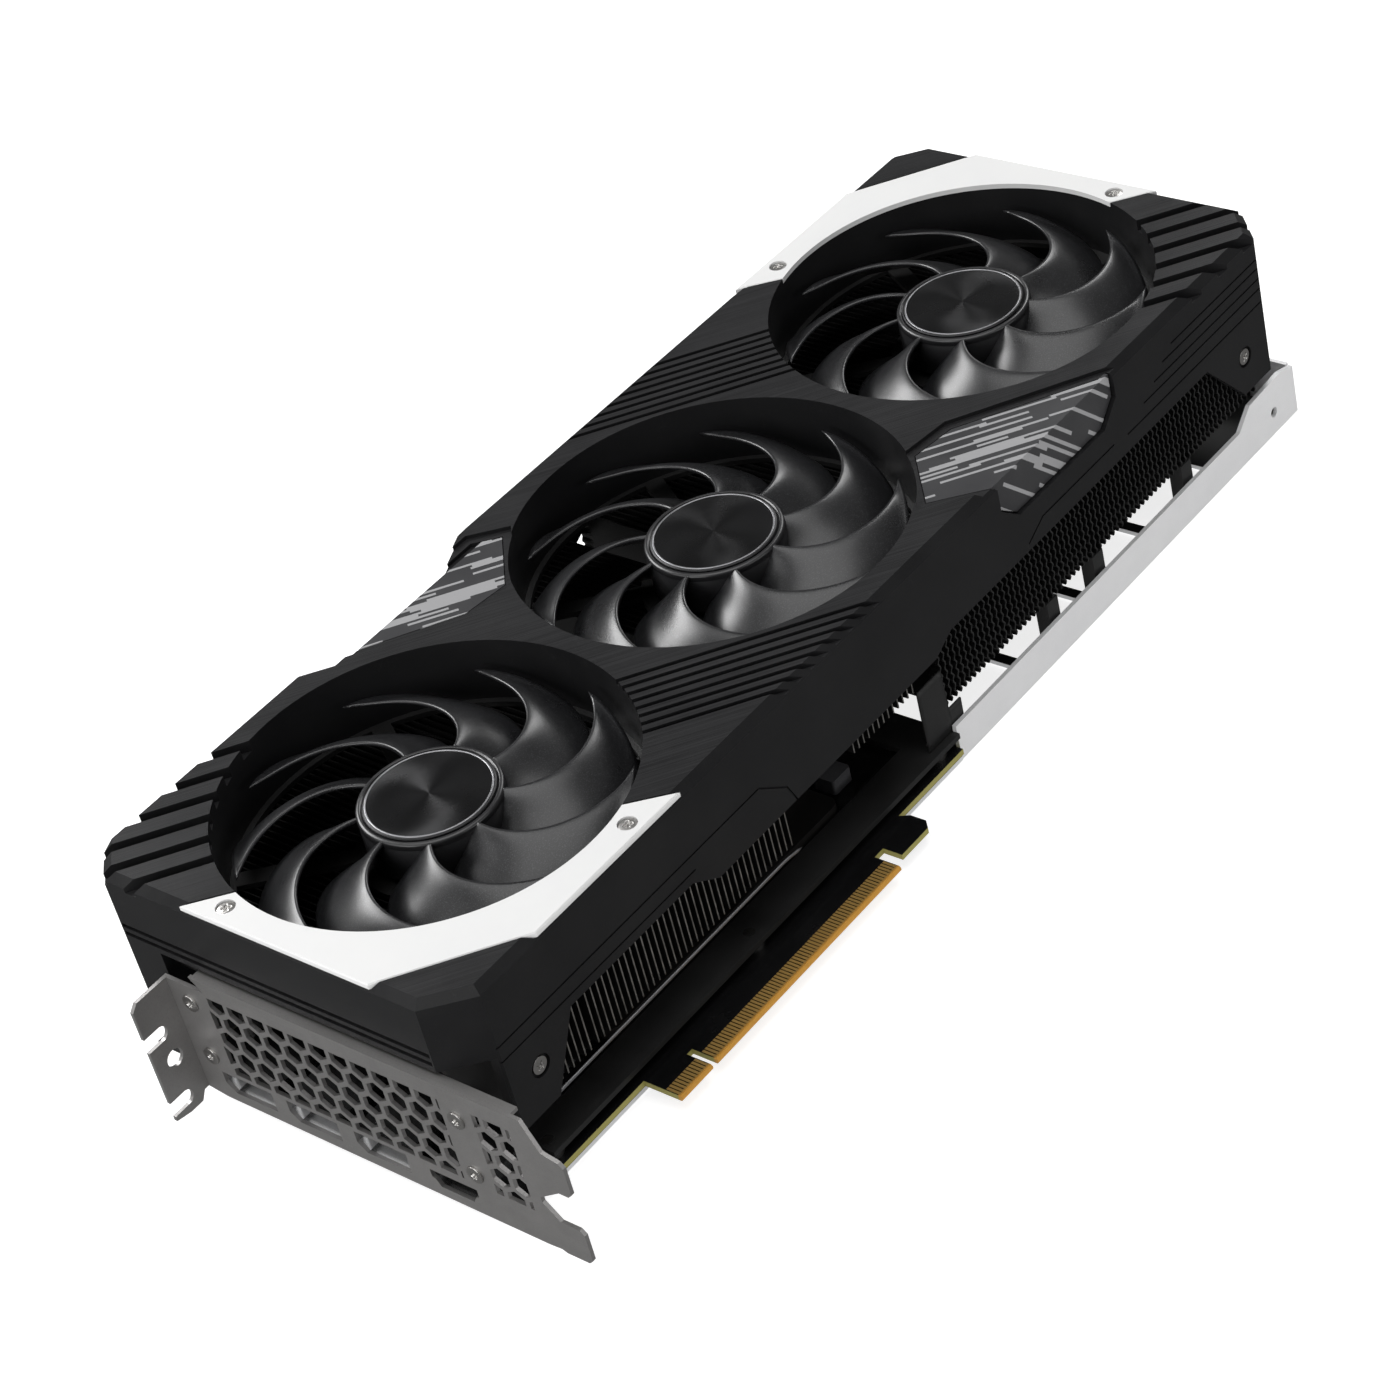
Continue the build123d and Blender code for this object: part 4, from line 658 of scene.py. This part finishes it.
def screwHead(name, spot, direction, kind, radius, height):
    # height over a disc: a low dome with a rounded rim, less a cross or a six-lobed recess in the middle
    rings, steps, pole = screws["rings"], screws["steps"], screws["pole"]
    bend = 0.96 + 0.04 * np.sin(np.linspace(0.2, pi / 2, 6))
    r = np.concatenate([np.linspace(pole, 0.96, rings - 6), bend])
    a = np.linspace(0, 2 * pi, steps, endpoint=False)
    rr, aa = np.meshgrid(r * radius, a, indexing="ij")
    p, q = rr * np.cos(aa), rr * np.sin(aa)
    rise = height * (1 - 0.25 * (rr / radius) ** 2)
    rise[-6:] -= height * 0.75 * (np.linspace(0, 1, 6) ** 3)[:, None]
    if kind == "cross":
        inside = np.minimum(np.abs(p), np.abs(q)) - screws["slotWidth"]
        reach = rr - screws["slotReach"]
        recessAndHighlight = np.clip(-np.maximum(inside, reach) / screws["soften"], 0, 1)
    else:
        lobes = screws["starReach"] * radius * (1 + 0.12 * np.cos(6 * aa))
        recessAndHighlight = np.clip((lobes - rr) / screws["soften"], 0, 1)
    rise = rise - screws["recess"] * recessAndHighlight
    normal = Vector(direction).normalized()
    sideways = normal.orthogonal().normalized()
    other = normal.cross(sideways)
    top = np.array(spot) + p[..., None] * np.array(sideways) + q[..., None] * np.array(other) \
        + rise[..., None] * np.array(normal)
    rim = np.cos(a)[:, None] * np.array(sideways) + np.sin(a)[:, None] * np.array(other)
    foot = np.array(spot) + radius * rim
    middle = np.array(spot) + pole * (foot - np.array(spot))
    points = np.concatenate([top, foot[None], middle[None]], 0).transpose(1, 0, 2)
    quads = gridQuads(steps, rings + 2, True)
    return closeUp(writeMesh(name, points.reshape(-1, 3), quads, screwSteel))


def joinPieces(pieces, name):
    for piece in bpy.context.selected_objects:
        piece.select_set(False)
    for piece in pieces:
        piece.select_set(True)
    bpy.context.view_layer.objects.active = pieces[0]
    bpy.ops.object.join()
    pieces[0].name = name
    return pieces[0]


half = (shroudHigh.x - shroudLow.x) / 2
halfWide = (shroudHigh.y - shroudLow.y) / 2
pitchX = fanX[1] - fanX[0]
(endX, endY), (cornerX, cornerY) = screws["trimEnd"], screws["trimCorner"]
trimSpots = [(-half + endX, endY), (-pitchX + cornerX, -halfWide + cornerY)]
trimSpots += [(-x, -y) for x, y in trimSpots]
trimHeads = joinPieces([screwHead(f"trimHead{i}", (midX + x, fanY + y, topZ - screws["trimDrop"]), (0, 0, 1),
                                  "cross", *screws["trim"])
                        for i, (x, y) in enumerate(trimSpots)], "trimHeads")
sideSpots = [(bracketX + x, z) for x, z in screws["sidePlaces"]]
sideHeads = joinPieces([screwHead(f"sideHead{i}{j}", (x, fanY + side * (halfWide - screws["sideDrop"]), z),
                                  (0, side, 0), "cross", *screws["side"])
                        for i, (x, z) in enumerate(sideSpots) for j, side in enumerate((-1, 1))], "sideHeads")
rivetLow, rivetHigh = [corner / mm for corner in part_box("bracket_screws")]
rivetRadius = screws["rivet"][0]
rivetHeads = joinPieces([screwHead(f"rivetHead{i}{j}", (bracketX, y, z), (-1, 0, 0), "star", *screws["rivet"])
                         for i, y in enumerate((rivetLow.y + rivetRadius, rivetHigh.y - rivetRadius))
                         for j, z in enumerate((rivetLow.z + rivetRadius, rivetHigh.z - rivetRadius))],
                        "rivetHeads")
for heads, node in ((trimHeads, "trim_screws"), (sideHeads, "side_screws"), (rivetHeads, "bracket_screws")):
    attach(heads, "card")
    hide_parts(node)
print("stage: screws made")


# the floor, lights and camera

stage = {"floor": 30.0, "floorDrop": 0.0004, "floorTone": (0.45, 0.45, 0.45),
         "floorToneTwo": (0.44, 0.44, 0.44), "floorGlow": 0.80, "world": 0.20, "aim": (0, 0, 0.03),
         "lights": [("topSoft", (-0.1, -0.1, 1.7), (1.5, 1.5), 18),
                    ("rightSoft", (1.15, 0.35, 0.85), (0.3, 0.5), 4),
                    ("backSoft", (-0.05, 1.25, 0.95), (0.8, 0.5), 18),
                    ("leftSoft", (-1.2, 0.6, 0.9), (0.6, 0.9), 4),
                    ("frontSoft", (-1.5, -0.1, 0.45), (0.7, 0.9), 12),
                    ("sideSoft", (0.3, -1.5, 0.5), (1.0, 0.5), 5)]}

bpy.ops.mesh.primitive_plane_add(size=stage["floor"], location=(0, 0, -stage["floorDrop"]))
floor = bpy.context.object
floor.name = "floorPlane"
floorFinish = Finish("floorPale", stage["floorTone"], stage["floorToneTwo"], (0.7, 0.8), specular=0.2)
floorFinish.grain(2.0, 0.004)
floorFinish.shader.inputs["Emission Color"].default_value = (1, 1, 1, 1)
floorFinish.shader.inputs["Emission Strength"].default_value = stage["floorGlow"]
floor.data.materials.append(floorFinish.done())
floor.visible_glossy = False

world = bpy.data.worlds.new("softRoom")
bpy.context.scene.world = world
world.use_nodes = True
world.node_tree.nodes["Background"].inputs[0].default_value = (1, 1, 1, 1)
world.node_tree.nodes["Background"].inputs[1].default_value = stage["world"]

for name, spot, size, power in stage["lights"]:
    lamp = bpy.data.lights.new(name, "AREA")
    lamp.shape = "RECTANGLE"
    lamp.size, lamp.size_y = size
    lamp.energy = power
    lampObject = bpy.data.objects.new(name, lamp)
    bpy.context.scene.collection.objects.link(lampObject)
    lampObject.location = spot
    toward = Vector(stage["aim"]) - Vector(spot)
    lampObject.rotation_euler = toward.to_track_quat("-Z", "Y").to_euler()

view = {"target": (-0.02442, -0.00073, 0.0321), "azimuth": -42.597, "elevation": 36.902, "roll": -14.93,
        "distance": 0.86319, "lens": 92.27}
turn, rise, roll = (radians(view[key]) for key in ("azimuth", "elevation", "roll"))
back = Vector((sin(turn) * cos(rise), -cos(turn) * cos(rise), sin(rise)))
right = Vector((cos(turn), sin(turn), 0))
up = back.cross(right)
rolledRight = cos(roll) * right + sin(roll) * up
rolledUp = cos(roll) * up - sin(roll) * right
lens = bpy.data.cameras.new("mainCamera")
lens.sensor_width = 36
lens.lens = view["lens"]
camera = bpy.data.objects.new("mainCamera", lens)
bpy.context.scene.collection.objects.link(camera)
camera.matrix_world = Matrix.Translation(Vector(view["target"]) + view["distance"] * back) @ \
    Matrix((rolledRight, rolledUp, back)).transposed().to_4x4()
bpy.context.scene.camera = camera
bpy.context.scene.view_settings.view_transform = "Standard"
print("stage: stage set")
